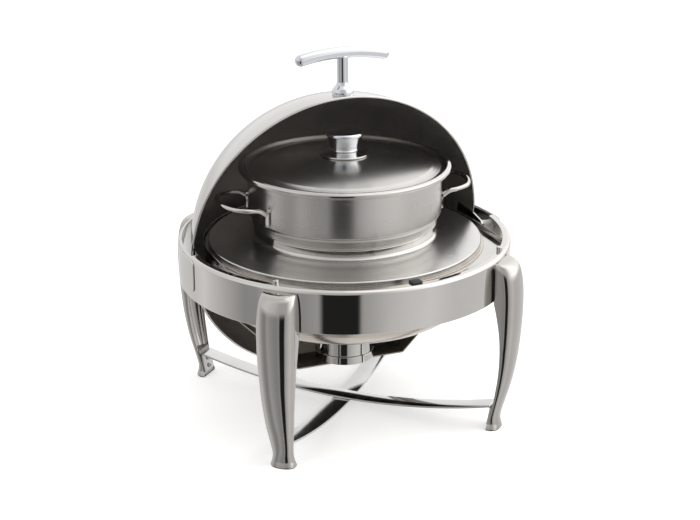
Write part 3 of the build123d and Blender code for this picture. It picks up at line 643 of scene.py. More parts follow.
def bake(ob, kind, **settings):
    """Apply a modifier."""
    modifier = ob.modifiers.new("shape", kind)
    for key, value in settings.items():
        setattr(modifier, key, value)
    graph = bpy.context.evaluated_depsgraph_get()
    mesh = bpy.data.meshes.new_from_object(ob.evaluated_get(graph), depsgraph=graph)
    old = ob.data
    ob.modifiers.clear()
    ob.data = mesh
    bpy.data.meshes.remove(old)


def bevel_edges(ob, width, segments, angle):
    bake(ob, "BEVEL", width=width * MM, segments=segments, limit_method="ANGLE",
         angle_limit=math.radians(angle))


def finish(ob, name, body, sharp=38):
    """Shade the object, hang it on its body and hide the CAD piece of that name, which it stands in
    for.
    """
    ob.data.shade_smooth()
    ob.data.set_sharp_from_angle(angle=math.radians(sharp))
    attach(ob, body)
    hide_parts(name)


def build(name, shapes, finishes, body, matrix=None, pick=None, bevel=None):
    """finishes: FINISH keys in slot order; bevel: width in mm, segments, least angle."""
    ob = new_object("vis_" + name, shapes, pick)
    for key in finishes.split():
        ob.data.materials.append(FINISH[key])
    if matrix is not None:
        ob.matrix_world = matrix
    if bevel:
        bevel_edges(ob, *bevel)
    finish(ob, name, body)
    return ob


# ------------------------------------------------------------------ frame band
BEND_R, BEND_Z = 6.0, 258.5               # outer radius and centre height of the top bend
LIP_STEPS = (-3.19, -176.81)              # directions where the lip narrows (degrees)
# folded lower hem (r, z), from the inside face round to the outside
HEM = [(238.5, 205.2), (238.2, 204.65), (237.6, 204.5), (236.3, 204.45), (236.0, 204.1),
       (236.0, 203.4), (236.3, 203.0), (237.2, 203.0), (238.6, 203.0), (239.3, 203.07),
       (239.8, 203.35)]


def band_section(angle):
    """Section (r, z): a wide flat lip in front, a bare bend behind."""
    centre_r = BAND_R - BEND_R
    blend = smoothstep(-14.0, -12.0, centre_r * math.sin(angle))
    lean = math.radians(90 + (73.5 - 90) * blend)
    lip = 5.8 + (0.06 - 5.8) * blend
    run_r, run_z = -math.sin(lean), math.cos(lean)

    def bend(radius):
        return [(centre_r + radius * math.cos(lean * i / 10),
                 BEND_Z + radius * math.sin(lean * i / 10)) for i in range(11)]

    def along(start):
        return [(start[0] + run_r * lip * s, start[1] + run_z * lip * s)
                for s in (0.12, 0.5, 0.88, 1.0)]

    outer, inner = bend(BEND_R), bend(BEND_R - SHEET)
    outer += along(outer[-1])
    inner += along(inner[-1])
    (r0, z0), (r1, z1) = outer[-1], inner[-1]
    mid_r, mid_z = (r0 + r1) / 2, (z0 + z1) / 2
    half = SHEET / 2
    points = [(BAND_R, z) for z in (203.8, 204.6, 210, 222, 234, 246, 254, 257.8)] + outer
    for i in range(1, 8):
        a = math.pi * i / 8
        points.append((mid_r + (r0 - mid_r) * math.cos(a) + run_r * half * math.sin(a),
                       mid_z + (z0 - mid_z) * math.cos(a) + run_z * half * math.sin(a)))
    points += inner[::-1] + [(BAND_R - SHEET, z) for z in (257.8, 246, 225, 206.4)]
    return points + HEM


def frame_band():
    angles = {round(2 * math.pi * i / 480, 9) for i in range(480)}
    for centre in LIP_STEPS:
        for k in range(-8, 9):
            angles.add(round(math.radians(centre + k * 0.12) % (2 * math.pi), 9))
    columns = [[(r * math.cos(a), r * math.sin(a), z) for r, z in band_section(a)]
               for a in sorted(angles)]
    return closed_ring(np.transpose(np.array(columns), (1, 0, 2)))


build("frame_band", [frame_band()], "band band_in", "stand",
      pick=lambda r, z: r < 238.9 and z < 262)

# ------------------------------------------------------------------ pan seat
SEAT_REAR_R, SEAT_FRONT_R, SEAT_FILLET = 204.5, 231.0, 26.0
# inner rim and hanging skirt (r, z), down the inside and up the outside
SEAT_SKIRT = [(192.8, 252.45), (192.5, 252.1), (192.5, 251.4), (192.8, 251.05), (193.4, 251.0),
              (200.6, 251.0), (201.3, 250.7), (201.5, 250.0), (201.5, 225.0), (201.5, 197.7),
              (201.7, 197.2), (202.2, 197.0), (202.8, 197.2), (203.0, 197.7), (203.0, 225.0),
              (203.0, 250.4), (203.05, 250.9)]


def seat_ring(inset):
    """Plan outline, N x 2: rear half circle, straight sides, fillets, wide front arc."""
    rear = SEAT_REAR_R - inset
    fillet = SEAT_FILLET - inset
    x = SEAT_REAR_R - SEAT_FILLET
    y = -math.sqrt((SEAT_FRONT_R - SEAT_FILLET) ** 2 - x ** 2)
    angle = math.degrees(math.atan2(y, x))
    points = arc_at(0, 0, rear, 0, 180, 180, last=0)
    points += [(-rear, y * i / 24) for i in range(24)]
    points += arc_at(-x, y, fillet, 180, 180 - angle, 14, last=0)
    points += arc_at(0, 0, SEAT_FRONT_R - inset, 180 - angle, 360 + angle, 150, last=0)
    points += arc_at(x, y, fillet, angle, 0, 14, last=0)
    points += [(rear, y * (1 - i / 24)) for i in range(24)]
    return np.array(points)


def seat_shape():
    # the wall is higher at the front
    top = np.array([263.0 + (260.5 - 263.0) * smoothstep(-106.0, -102.0, y)
                    for y in seat_ring(0)[:, 1]])
    deck = SEAT_FLOOR + SHEET
    quarter = [math.radians(90 * i / 4) for i in range(5)]
    inner = seat_ring(3.9)
    angles = np.arctan2(inner[:, 1], inner[:, 0])

    def circle(radius):
        return np.stack([radius * np.cos(angles), radius * np.sin(angles)], 1)

    # (plan, height): up the outside, over the edge, down the inside
    rows = [(seat_ring(2.2 * (1 - math.sin(t))), SEAT_FLOOR + 2.2 * (1 - math.cos(t)))
            for t in quarter]
    rows += [(seat_ring(0), 253.8), (seat_ring(0), top - 1.3)]
    for i in range(7):
        t = math.radians(180 * i / 6)
        rows.append((seat_ring(0.75 - 0.75 * math.cos(t)), top - 0.75 + 0.75 * math.sin(t)))
    rows += [(seat_ring(SHEET), top - 1.3), (seat_ring(SHEET), 255.0)]
    rows += [(seat_ring(SHEET + 1.8 * (1 - math.cos(t))), deck + 1.8 * (1 - math.sin(t)))
             for t in quarter]
    # deck, inner rim, skirt and back to the wall
    rows += [(inner * (1 - s) + circle(193.4) * s, deck) for s in (0.0, 0.33, 0.66, 1.0)]
    rows += [(circle(r), z) for r, z in SEAT_SKIRT]
    rows.append((circle(203.2) * 0.9 + seat_ring(2.25) * 0.1, SEAT_FLOOR))
    return closed_ring(np.array([np.column_stack([plan, np.broadcast_to(z, len(plan))])
                                 for plan, z in rows]))


def cut_notch(ob, steps=24):
    """Curved notch through the front of the deck."""
    spin = math.radians(-72.5)
    verts, faces = [], []
    for r in (214.0, 227.0):
        for z in (249.0, 254.0):
            for i in range(steps + 1):
                y = -19.0 + 38.0 * i / steps
                x = math.sqrt(r * r - y * y)
                verts.append((x * math.cos(spin) - y * math.sin(spin),
                              x * math.sin(spin) + y * math.cos(spin), z))
    n = steps + 1
    for i in range(steps):
        faces += [(i, i + 1, n + i + 1, n + i),
                  (2 * n + i, 3 * n + i, 3 * n + i + 1, 2 * n + i + 1),
                  (n + i, n + i + 1, 3 * n + i + 1, 3 * n + i),
                  (i, 2 * n + i, 2 * n + i + 1, i + 1)]
    faces.append((0, n, 3 * n, 2 * n))
    faces.append((steps, 2 * n + steps, 3 * n + steps, n + steps))
    cutter = new_object("cutter", [(verts, faces)])
    bpy.context.view_layer.update()
    bake(ob, "BOOLEAN", operation="DIFFERENCE", solver="EXACT", object=cutter)
    bpy.data.objects.remove(cutter)
    ob.data.set_sharp_from_angle(angle=math.radians(38))


cut_notch(build("pan_seat", [seat_shape()], "seat skirt", "stand",
                pick=lambda r, z: z < 251.2))

# ------------------------------------------------------------------ hinge hardware
# name, finish, slot, corner radius, outline (radius, distance along the hinge axis)
HINGE_PARTS = [
    ("hinge_bushes", "nylon", "nylon_white", 0.5,
     [(4.0, 222.1), (8.5, 222.1), (8.5, 227.0), (8.1, 227.6), (8.1, 232.6), (8.5, 233.2),
      (8.5, 238.3), (4.0, 238.3)]),
    ("hinge_pins", "handle", "screw_steel", 0.3,
     [(0, 214.6), (5.6, 214.6), ((6.6, 215.0), (7.0, 216.0)), (7.0, 218.2), (4.0, 218.2),
      (4.0, 239.9), (0, 239.9)]),
    ("hinge_washers", "screw", "screw_steel", 0.3,
     [(4.0, 220.55), (9.5, 220.55), (9.5, 222.1), (4.0, 222.1)]),
]
for name, key, slot, corner, items in HINGE_PARTS:
    build(name, [moved(lathe(items, 64, corner), shift(0, 0, HINGE_Z) @ turn(90 * sign, "Y"))
                 for sign in (-1, 1)], key, "stand")
for sign, side in ((-1, "left"), (1, "right")):
    plate = wrapped_plate(BAND_R + 0.02, BAND_R + 1.52, 29.43, 215.0, 262.0, 8.0, sign)
    build("hinge_cover_" + side, [plate], "band", "stand",
          bevel=(0.45, 3, 50))

# ------------------------------------------------------------------ lid studs and bumper
stud = lathe([(0, 264.5), (4.2, 264.5), (4.2, 269.3), ((3.85, 270.15), (3.0, 270.5)),
              (0, 270.5)], 48, 0.2)
build("lid_guide_studs", [moved(stud, turn(angle) @ shift(radius, 0, 0))
                          for angle, radius in ((-42.5, 231.0), (-136.0, 229.6))],
      "handle", "stand")

# (r, z), hooked over the inner edge of the band's lip
BUMPER = [(219.8, 267.6), (233.2, 267.6), (233.2, 264.5), (227.3, 264.5), (227.3, 258.5),
          (219.8, 258.5)]
bumper = extruded(*([(x, y, z) for x, z in BUMPER] for y in (-7.5, 7.5)))
build("front_bumper", [moved(bumper, turn(-87.8))], "rubber", "stand",
      bevel=(0.9, 3, 40))

# ------------------------------------------------------------------ legs
LEG_BACK_R = BAND_R + 0.06
# z, back radius, front radius, half width
LEG = [
    (258.0, 236.0, 250.5, 22.6), (256.8, 236.0, 255.5, 24.2), (253.5, 236.0, 260.5, 25.4),
    (247.0, 236.0, 264.8, 26.5), (236.0, 236.0, 268.2, 27.4), (220.0, 236.5, 270.5, 28.0),
    (203.0, 239.0, 271.4, 28.0), (180.0, 244.0, 271.3, 27.7), (150.0, 248.3, 269.9, 26.6),
    (115.0, 249.0, 266.6, 24.6), (85.0, 246.6, 261.6, 22.3), (62.0, 243.0, 256.4, 20.2),
    (44.0, 239.6, 251.2, 18.0), (30.0, 236.4, 247.2, 16.3), (19.0, 233.6, 244.8, 15.4),
    (11.0, 231.6, 244.8, 15.9), (5.0, 230.0, 246.2, 17.5), (1.5, 229.4, 247.1, 18.4),
]


def leg_row(z, back, front, half, power=2.3, steps=36):
    """Open section of the leg, superelliptic in front; near the band it clears the band."""
    if z > 199.0:
        back = max(back, math.sqrt(LEG_BACK_R ** 2 - half * half))
    start = front - min(front - back, 0.72 * half)      # where the flat sides end
    if start - back < 0.8:
        start = back + 0.05
    points = [(back + (start - back) * i / 4, -half) for i in range(4)]
    for i in range(steps + 1):
        angle = -math.pi / 2 + math.pi * i / steps
        c, s = max(math.cos(angle), 0.0), math.sin(angle)
        points.append((start + (front - start) * c ** (2 / power),
                       half * (1 if s > 0 else -1) * abs(s) ** (2 / power)))
    points += [(start + (back - start) * i / 4, half) for i in range(1, 5)]
    return [(x, y, z) for x, y in points]


def leg_sheet():
    """Skin of a leg pointing along +X, closed by a domed top."""
    z, _, front, half = LEG[0]
    rows = [leg_row(z + 0.5 * (1 - s * s), LEG_BACK_R, 240.1 + (front - 240.1) * s, half * s)
            for s in (0.06, 0.2, 0.4, 0.6, 0.8, 0.92)]
    rows += [leg_row(*station) for station in catmull(LEG, 5)]
    rows = np.array(rows)
    count, n = rows.shape[:2]
    return rows.reshape(-1, 3), grid_faces(count, n, wrap_cols=False) + [tuple(range(n))]


def face_outward(mesh, angle):
    """Turn the faces so that the outermost one at mid height looks away from the band."""
    out = Vector((math.cos(math.radians(angle)), math.sin(math.radians(angle)), 0))
    work = bmesh.new()
    work.from_mesh(mesh)
    outermost = max((f for f in work.faces if 0.1 < f.calc_center_median().z < 0.2),
                    key=lambda f: f.calc_center_median().dot(out))
    if outermost.normal.dot(out) < 0:
        bmesh.ops.reverse_faces(work, faces=work.faces)
    work.to_mesh(mesh)
    work.free()


sheet = leg_sheet()
for name, angle in LEGS.items():
    leg = new_object("vis_" + name, [moved(sheet, turn(angle))])
    face_outward(leg.data, angle)
    leg.data.materials.append(FINISH["leg"])
    bake(leg, "SOLIDIFY", thickness=1.6 * MM, offset=-1.0, use_rim=True)
    bevel_edges(leg, 0.3, 2, 50)
    finish(leg, name, "stand", sharp=42)

# ------------------------------------------------------------------ cross straps
STRAP_T = 3.0
TAB_TOP, TAB_LOW = (237.6, 40.0), (231.6, 7.0)      # (r, z) on the tab at each end
TAB_SLOPE = (TAB_TOP[0] - TAB_LOW[0]) / (TAB_TOP[1] - TAB_LOW[1])


def tab_r(z):
    return TAB_LOW[0] + (z - TAB_LOW[1]) * TAB_SLOPE


def strap_path(z0):
    """Upper face: a sagging bow, turned down into a tab at each end."""
    end_z = TAB_TOP[1] - 1.0
    end_r = tab_r(end_z)
    rise = end_z - (z0 + STRAP_T)
    right = [(r, z0 + STRAP_T + rise * (r / end_r) ** 2) for r in np.linspace(0, end_r - 9.0, 44)]
    right += [(end_r, end_z)] + [(tab_r(z), z) for z in (24.0, 7.0)]
    points = [(-r, z) for r, z in right[:0:-1]] + right
    return fillet_path(points, {2: 4.6, len(points) - 3: 4.6})


for name, leg, z0 in (("cross_strap_lower", "leg_front_left", 2.6),
                      ("cross_strap_upper", "leg_front_right", 5.75)):
    build(name, [ribbon(strap_path(z0), STRAP_T, 13.5)], "strap", "stand",
          matrix=turn(LEGS[leg]), bevel=(0.55, 3, 40))

# ------------------------------------------------------------------ fuel bracket
BRACKET_X, BRACKET_Z, BRACKET_T = 199.6, 71.5, 2.0
FLAT_X = 84.0                                       # half length of the flat bottom
slope_z = BRACKET_Z + (BRACKET_X - FLAT_X)          # top of the 45 degree slopes
path = [(-BRACKET_X, 216.0), (-BRACKET_X, slope_z), (-FLAT_X, BRACKET_Z),
        (FLAT_X, BRACKET_Z), (BRACKET_X, slope_z), (BRACKET_X, 216.0)]
path = fillet_path(path, {1: 5.0, 2: 5.0, 3: 5.0, 4: 5.0})
build("fuel_bracket", [ribbon(divided(path, 12) + [path[-1]], BRACKET_T, 25.0, side=-1)],
      "bracket", "stand", bevel=(0.4, 2, 40))

# ------------------------------------------------------------------ fuel cup
CUP_Z = BRACKET_Z + BRACKET_T + 0.02
CUP_R, CUP_TOP = 44.0, 122.0
PIN_ANGLE = math.radians(148.0)
cup = lathe([
    (0, CUP_Z), (CUP_R - 1.0, CUP_Z), ((CUP_R - 0.3, CUP_Z + 0.3), (CUP_R, CUP_Z + 1.0)),
    (CUP_R, CUP_Z + 11.0), ((CUP_R - 0.35, CUP_Z + 11.8), (CUP_R - 1.6, CUP_Z + 12.2)),
    ((CUP_R - 2.2, CUP_Z + 12.8), (CUP_R - 2.2, CUP_Z + 13.6)),
    (CUP_R - 2.2, CUP_TOP - 1.0), ((CUP_R - 2.5, CUP_TOP - 0.3), (CUP_R - 3.2, CUP_TOP)),
    (CUP_R - 4.2, CUP_TOP), (CUP_R - 4.2, CUP_Z + 2.0), (0, CUP_Z + 2.0)], 128, 0.3)
# side grip, rounded at its outer corners
grip = ([(42.2, -9.0)] + arc_at(50.2, -5.8, 3.0, -90, 0, 6) + arc_at(50.2, 5.8, 3.0, 0, 90, 6)
        + [(42.2, 9.0)])
grip = extruded(*([(x, y, z) for x, y in grip] for z in (92.0, 93.6)))
# hinge lug: tube around the damper pin, flattened against the cup wall
lug = lathe([(2.5, 113.0), (6.0, 113.0), (6.0, 121.0), (2.5, 121.0)], 48, 0.4)
lug = moved(lug, shift((CUP_R + 1.2) * math.cos(PIN_ANGLE),
                       (CUP_R + 1.2) * math.sin(PIN_ANGLE), 0))
build("fuel_cup", [cup, moved(grip, turn(-12)), push_out(lug, 40.6)], "cup", "fuel_holder")

# ------------------------------------------------------------------ water pan
PAN_R, PAN_BOT, PAN_BEND = 190.0, 148.5, 58.0
bend_r, bend_z = PAN_R - PAN_BEND, PAN_BOT + PAN_BEND
inner_bend = (PAN_BEND - THIN) * Q
pan = lathe([
    (0, PAN_BOT), (bend_r, PAN_BOT),
    ((bend_r + PAN_BEND * Q, bend_z - PAN_BEND * Q), (PAN_R, bend_z)),
    (PAN_R, PAN_FLANGE_Z - 1.6),
    ((PAN_R + 0.5, PAN_FLANGE_Z - 0.5), (PAN_R + 1.6, PAN_FLANGE_Z)),
    (201.5, PAN_FLANGE_Z), (201.5, PAN_FLANGE_Z + THIN),
    (PAN_R - THIN + 2.0, PAN_FLANGE_Z + THIN),
    ((PAN_R - THIN + 0.5, PAN_FLANGE_Z + 0.6), (PAN_R - THIN, PAN_FLANGE_Z - 1.2)),
    (PAN_R - THIN, bend_z),
    ((bend_r + inner_bend, bend_z - inner_bend), (bend_r, PAN_BOT + THIN)),
    (0, PAN_BOT + THIN)], 256, 0.4)
build("water_pan", [pan], "pan", "water_pan")

# ------------------------------------------------------------------ adaptor ring
ring = lathe([
    (DISC_R, DISC_Z), (DISC_R, DISC_Z + 5.6),
    ((DISC_R - 0.6, DISC_Z + 7.1), (DISC_R - 2.2, DISC_Z + 7.8)),
    ((165.0, DISC_Z + 11.6), (138.0, DISC_Z + 13.4)),
    ((132.4, DISC_Z + 14.6), (129.6, DISC_Z + 18.4)),
    (COLLAR_R, COLLAR_TOP - 2.2), ((COLLAR_R - 1.5, COLLAR_TOP - 0.3), (COLLAR_R - 2.6, COLLAR_TOP)),
    ((COLLAR_R - 4.2, COLLAR_TOP - 1.0), (COLLAR_R - 4.6, COLLAR_TOP - 2.8)),
    (COLLAR_R - 4.6, COLLAR_TOP - 6.0), (COLLAR_R - 3.4, COLLAR_TOP - 6.0),
    (COLLAR_R - 3.4, COLLAR_TOP - 2.8),
    ((COLLAR_R - 2.4, COLLAR_TOP - 1.3), (COLLAR_R - 1.2, COLLAR_TOP - 2.8)),
    (129.6 - THIN, DISC_Z + 18.0), ((131.7, DISC_Z + 13.6), (137.8, DISC_Z + 12.2)),
    ((165.0, DISC_Z + 10.4), (DISC_R - 2.8, DISC_Z + 6.6)),
    ((DISC_R - 1.6, DISC_Z + 6.2), (DISC_R - THIN, DISC_Z + 5.3)), (DISC_R - THIN, DISC_Z)],
    320, 0.3)
build("adaptor_ring", [ring], "satin handle", "adaptor",
      pick=lambda r, z: r < 130.2)

# ------------------------------------------------------------------ soup pot
POT_BEND = 16
bend_r, bend_z = POT_LOW_R - POT_BEND, POT_BOT + POT_BEND
inner_bend = (POT_BEND - THIN) * Q
pot = lathe([
    (0, POT_BOT), (bend_r, POT_BOT),
    ((bend_r + POT_BEND * Q, bend_z - POT_BEND * Q), (POT_LOW_R, bend_z)),
    (POT_LOW_R, POT_SEAT_Z - 3.0),
    ((POT_LOW_R + 0.9, POT_SEAT_Z - 0.9), (POT_LOW_R + 3.0, POT_SEAT_Z)),
    (POT_STEP_R - 2.5, POT_SEAT_Z),
    ((POT_STEP_R - 0.7, POT_SEAT_Z + 0.7), (POT_STEP_R, POT_SEAT_Z + 2.5)),
    (POT_STEP_R, 294.0), ((POT_STEP_R + 1.0, 297.2), (POT_R - 2.2, 299.4)),
    ((POT_R - 0.5, 300.9), (POT_R, 303.0)),
    (POT_R, 357.0), ((POT_R + 1.3, 360.3), (POT_R + 4.5, 361.6)), (148.6, 361.6),
    ((150.2, 363.2), (148.6, POT_RIM_Z)), (147.7, 364.6), (147.2, 363.8), (147.8, 362.8),
    (POT_R + 4.2, 362.8), ((POT_R + 0.3, 361.2), (POT_R - THIN, 357.2)),
    (POT_R - THIN, 303.3), ((POT_R - 1.6, 301.6), (POT_R - 3.0, 300.4)),
    ((POT_STEP_R - 0.4, 297.8), (POT_STEP_R - THIN, 294.3)),
    (POT_STEP_R - THIN, POT_SEAT_Z + 3.0),
    ((POT_STEP_R - THIN - 0.5, POT_SEAT_Z + 1.7), (POT_STEP_R - THIN - 1.8, POT_SEAT_Z + THIN)),
    (POT_LOW_R + 2.6, POT_SEAT_Z + THIN),
    ((POT_LOW_R - 0.4, POT_SEAT_Z), (POT_LOW_R - THIN, POT_SEAT_Z - 3.2)),
    (POT_LOW_R - THIN, POT_BOT + 16.2),
    ((bend_r + inner_bend, bend_z - inner_bend), (POT_LOW_R - 16.2, POT_BOT + THIN)),
    (0, POT_BOT + THIN)], 288, 0.3)


def pot_inside(r, z):
    wall = POT_R if z > 300 else (POT_STEP_R if z > POT_SEAT_Z + 0.6 else POT_LOW_R)
    outer_bend = (z < bend_z and r > bend_r and math.hypot(r - bend_r, z - bend_z) > 15.4)
    return z <= 361.9 and r < wall - 0.6 and z > POT_BOT + 0.6 and not outer_bend


build("soup_pot", [pot], "pot pot_in", "soup_pot", pick=pot_inside)

HANDLE_Z, HANDLE_Y, HANDLE_TURN = 327.0, 47.0, -3.0
# x, y, height above HANDLE_Z: from the front root to the middle of the grip
GRIP = [(132.2, -HANDLE_Y, -7.0), (143.0, -47.5, -0.5), (158.0, -46.5, 1.0),
        (175.0, -37.0, 2.0), (184.5, -18.0, 3.0), (186.5, 0.0, 3.2)]
wire = GRIP + [(x, -y, z) for x, y, z in GRIP[-2::-1]]
pad = wrapped_plate(POT_R + 0.03, POT_R + 2.45, 6.5, HANDLE_Z - 25.0, HANDLE_Z + 1.0, 4.0,
                    steps=5)
for sign, side in ((-1, "left"), (1, "right")):
    rod = tube(catmull([(sign * x, y, HANDLE_Z + z) for x, y, z in wire], 10), 3.2, 28)
    shapes = [moved(push_out(rod, POT_R + 0.03), turn(HANDLE_TURN))]
    for end in (-1, 1):
        angle = math.degrees(math.asin(HANDLE_Y / POT_R)) * end + HANDLE_TURN * sign
        shapes.append(moved(pad, turn(angle if sign > 0 else 180 - angle)))
    build("pot_handle_" + side, shapes, "handle", "soup_pot")

# ------------------------------------------------------------------ pot lid and knob
pot_lid = lathe([
    (3.0, 383.59), ((38, 382.45), (76, 379.0)), ((104, 374.3), (124, 369.4)),
    ((131.5, 366.6), (136.8, 365.4)), ((140.0, 365.9), (142.4, 367.8)),
    ((145.8, 370.2), (149.4, 369.4)), ((151.6, 368.2), (152.0, 366.2)),
    (152.0, LID_Z), (147.2, LID_Z), (146.2, LID_Z + 1.6), (146.4, 368.6),
    ((144.7, 368.2), (143.2, 366.9)), ((140.2, 364.6), (136.8, 364.2)),
    ((131.2, 365.4), (123.7, 368.2)), ((104, 373.1), (76, 377.8)),
    ((38, 381.25), (3.0, 382.39))], 288, 0.3)
build("pot_lid", [pot_lid], "potlid handle", "pot_lid",
      pick=lambda r, z: r > 138.2)
knob_base = lathe([
    (3.0, 383.66), ((17.0, 383.44), (33.2, 382.82)), ((34.9, 384.2), (33.6, 385.6)),
    ((27.0, 387.8), (21.0, 389.0)), (3.0, 389.0)], 128, 0.3)
build("knob_base", [knob_base], "handle", "pot_lid")
knob = lathe([
    (3.0, 389.02), (19.4, 389.02), ((20.3, 389.5), (20.5, 390.6)), (20.3, 391.6),
    ((20.0, 392.2), (20.2, 393.0)), ((22.4, 402.0), (25.4, 409.6)),
    ((26.9, 413.6), (24.4, 416.3)), (12.0, 417.1), (0.0, 417.1), (0.0, 410.5),
    (3.0, 410.5)], 128, 0.3)
build("pot_lid_knob", [knob], "chrome", "pot_lid")

# ------------------------------------------------------------------ roll-top lid
DOME_R, DOME_IN_R = 223.0, 221.8


def dome_point(radius, rim_r, rim_z):
    """Point halfway between the rim and the crown."""
    angle = (math.atan2(rim_z, rim_r) + math.pi / 2) / 2
    return radius * math.cos(angle), radius * math.sin(angle)


dome = lathe([
    (0.0, DOME_R), (dome_point(DOME_R, 220.86, 30.83), (220.86, 30.83)),
    ((223.35, 29.25), (221.6, 27.5)), ((220.4, 27.97), (219.86, 29.15)), (219.84, 29.4),
    (dome_point(DOME_IN_R, 219.84, 29.4), (0.0, DOME_IN_R))], 360, 0.0)
build("lid_dome", [dome], "dome dome_in", "lid", matrix=LID_OPEN,
      pick=lambda r, z: math.hypot(r, z) < 222.4 and z > 30.2)

FOOT = DOME_R + 0.02                      # foot of the lid handle
handle_base = lathe([
    (3.0, FOOT), ((9.6, FOOT - 0.21), (15.6, FOOT - 0.55)), (15.6, FOOT + 1.2),
    ((15.2, FOOT + 6.5), (12.4, FOOT + 11.2)), ((10.0, FOOT + 14.2), (8.6, FOOT + 17.5)),
    (8.6, FOOT + 18.5), (3.0, FOOT + 18.5)], 96, 0.4)
build("lid_handle_base", [handle_base], "chrome", "lid", matrix=LID_HANDLE)
BAR_C, BAR_R, BAR_HALF, BAR_DROP = FOOT + 60.0, 8.5, 62.5, 6.5
post = lathe([
    (3.0, FOOT + 18.52), (8.2, FOOT + 18.52), (8.2, BAR_C - 6.0), (7.6, BAR_C - 4.4),
    (0.0, BAR_C - 4.4), (0.0, FOOT + 34.0), (3.0, FOOT + 34.0)], 96, 0.35)
build("lid_handle_post", [post], "chrome", "lid", matrix=LID_HANDLE)


def handle_bar():
    """Arched bar with rounded ends."""
    arch_r = (BAR_HALF ** 2 + BAR_DROP ** 2) / (2 * BAR_DROP)
    arch = math.asin(BAR_HALF / arch_r)
    stations = []               # y, z, radius

    def add_end(sign, steps):
        for i in steps:
            t = math.radians(86 * i / 12)
            out = BAR_R * math.sin(t)
            stations.append((sign * (BAR_HALF + math.cos(arch) * out),
                             BAR_C - BAR_DROP - math.sin(arch) * out, BAR_R * math.cos(t)))

    add_end(-1, range(12, 0, -1))
    for i in range(41):
        a = -arch + 2 * arch * i / 40
        stations.append((arch_r * math.sin(a), BAR_C - arch_r + arch_r * math.cos(a), BAR_R))
    add_end(1, range(1, 13))
    return tube([(0, y, z) for y, z, _ in stations], [radius for _, _, radius in stations], 48)


build("lid_handle_bar", [handle_bar()], "chrome", "lid", matrix=LID_HANDLE)

# ------------------------------------------------------------------ CAD pieces kept as they are
KEEP = {
    "leg_top_blocks": "cast", "leg_foot_blocks": "cast", "leg_screws": "screw",
    "foot_pads": "rubber", "strap_screws": "screw", "bracket_screws": "screw",
    "damper_pin": "screw", "damper_washer": "screw", "damper_cover": "cup",
    "knob_screw": "screw", "lid_ear_left": "dome", "lid_ear_right": "dome",
    "lid_handle_screw": "screw",
}
for name, key in KEEP.items():
    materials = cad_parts[name].data.materials
    materials.clear()
    materials.append(FINISH[key])

# ================================================================== stage, light, camera
scene = bpy.context.scene
scene.view_settings.view_transform = "Standard"
scene.view_settings.look = "None"
scene.view_settings.exposure = 0.0
scene.view_settings.gamma = 1.0

# Surroundings seen in the metal: (degrees from the camera's direction, brightness)
AROUND_LOW = [
    (-180, 0.75), (-125, 0.75), (-112, 0.86), (-90, 0.58), (-72, 0.36), (-62, 0.36), (-54, 0.54),
    (-40, 0.40), (-28, 0.36), (-17.5, 0.44), (-14.5, 0.02), (9.5, 0.02), (12.0, 0.46), (30, 0.68),
    (45, 0.80), (60, 0.86), (80, 0.74), (110, 0.78), (145, 0.84), (162, 1.05), (180, 0.80)]
AROUND_UP = [
    (-180, 1.10), (-140, 0.95), (-105, 0.85), (-60, 0.95), (-35, 0.75), (-20, 0.60), (20, 0.60),
    (35, 0.9), (60, 1.6), (100, 2.1), (130, 1.7), (180, 1.15)]
AROUND_TOP = [(-180, 1.1), (-90, 0.85), (0, 1.0), (60, 1.6), (120, 1.7), (180, 1.2)]
WARM_WHITE = (1.0, 0.99, 0.98)


def make_world():
    """Three bands of brightness for the metal; the camera itself sees white."""
    world = bpy.data.worlds.new("studio")
    scene.world = world
    net = Nodes(world)
    out = net.add("ShaderNodeOutputWorld")
    direction = net.add("ShaderNodeTexCoord").outputs["Generated"]
    x, y, z = net.add("ShaderNodeSeparateXYZ", {0: direction}).outputs
    cosine, sine = math.cos(CAM_AZIMUTH), math.sin(CAM_AZIMUTH)
    toward = net.math("ADD", net.math("MULTIPLY", x, cosine), net.math("MULTIPLY", y, sine))
    aside = net.math("SUBTRACT", net.math("MULTIPLY", y, cosine), net.math("MULTIPLY", x, sine))
    # 0.5 at the camera, more to its right
    azimuth = net.mul_add(net.math("ARCTAN2", aside, toward), 1 / (2 * math.pi), 0.5)
    height = net.math("ARCSINE", z)
    low, middle, top = (
        net.ramp(azimuth, [(0.5 + angle / 360.0, tuple(level * c for c in WARM_WHITE))
                           for angle, level in rows])
        for rows in (AROUND_LOW, AROUND_UP, AROUND_TOP))
    to_middle, to_top = (
        net.rescale(height, math.radians(start), math.radians(end), "SMOOTHSTEP")
        for start, end in ((-6, 8), (42, 66)))
    color = net.mix(to_top, net.mix(to_middle, low, middle), top)
    path = net.add("ShaderNodeLightPath")
    seen, plain = (net.add("ShaderNodeBackground", {"Color": tone, "Strength": 1.0})
                   for tone in (color, (1, 1, 1, 1)))
    mixed = net.add("ShaderNodeMixShader", {0: path.outputs["Is Camera Ray"],
                                            1: seen.outputs[0], 2: plain.outputs[0]})
    net.put(out.inputs[0], mixed.outputs[0])


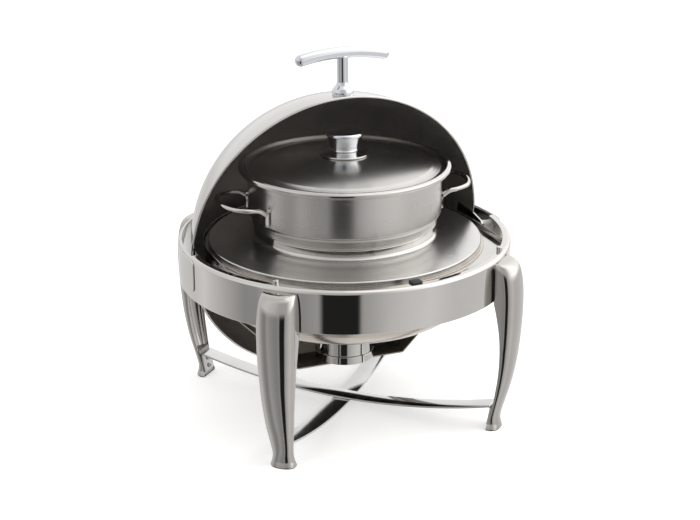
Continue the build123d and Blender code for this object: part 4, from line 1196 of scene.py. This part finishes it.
def make_floor():
    """Pale disc that takes a soft contact shadow and stays out of reflections."""
    work = bmesh.new()
    bmesh.ops.create_circle(work, cap_ends=True, segments=96, radius=4.0)
    mesh = bpy.data.meshes.new("floor")
    work.to_mesh(mesh)
    work.free()
    floor = link("floor", mesh)
    mat = bpy.data.materials.new("floor_pale")
    net = Nodes(mat)
    out = net.add("ShaderNodeOutputMaterial")
    diffuse = net.add("ShaderNodeBsdfDiffuse", {"Color": (0.80, 0.80, 0.795, 1)})
    glow = net.add("ShaderNodeEmission", {"Color": (1, 1, 1, 1), "Strength": 0.42})
    both = net.add("ShaderNodeAddShader", {0: diffuse.outputs[0], 1: glow.outputs[0]})
    net.put(out.inputs[0], both.outputs[0])
    mesh.materials.append(mat)
    floor.visible_glossy = False


def area_light(name, place, power):
    """Square lamp aimed at the body, kept out of reflections."""
    light = bpy.data.lights.new(name, "AREA")
    light.shape = "RECTANGLE"
    light.size = light.size_y = 1.2
    light.energy = power
    ob = bpy.data.objects.new(name, light)
    ob.location = place
    aim = Vector((0, 0, 0.25)) - Vector(place)
    ob.rotation_euler = aim.to_track_quat("-Z", "Y").to_euler()
    scene.collection.objects.link(ob)
    ob.visible_glossy = False


def make_camera():
    data = bpy.data.cameras.new("camera")
    camera = link("camera", data)
    sin_turn, cos_turn = math.sin(CAM_TURN), math.cos(CAM_TURN)
    sin_tilt, cos_tilt = math.sin(CAM_TILT), math.cos(CAM_TILT)
    back = Vector((sin_turn * cos_tilt, -cos_turn * cos_tilt, sin_tilt))
    right = Vector((cos_turn, sin_turn, 0))
    above = Vector((-sin_turn * sin_tilt, cos_turn * sin_tilt, cos_tilt))
    pose = Matrix((right, above, back)).transposed().to_4x4()
    pose.translation = Vector((0, 0, CAM_AIM_Z)) + back * CAM_DIST
    camera.matrix_world = pose
    data.sensor_width = 36.0
    data.lens = 85.86
    data.shift_x = 0.0077
    data.shift_y = 0.0057
    data.clip_start = 0.05
    scene.camera = camera


make_world()
make_floor()
area_light("key", place=(1.6, -1.2, 1.9), power=14)
area_light("fill", place=(-1.9, -0.6, 1.5), power=7)
make_camera()

bpy.context.view_layer.update()
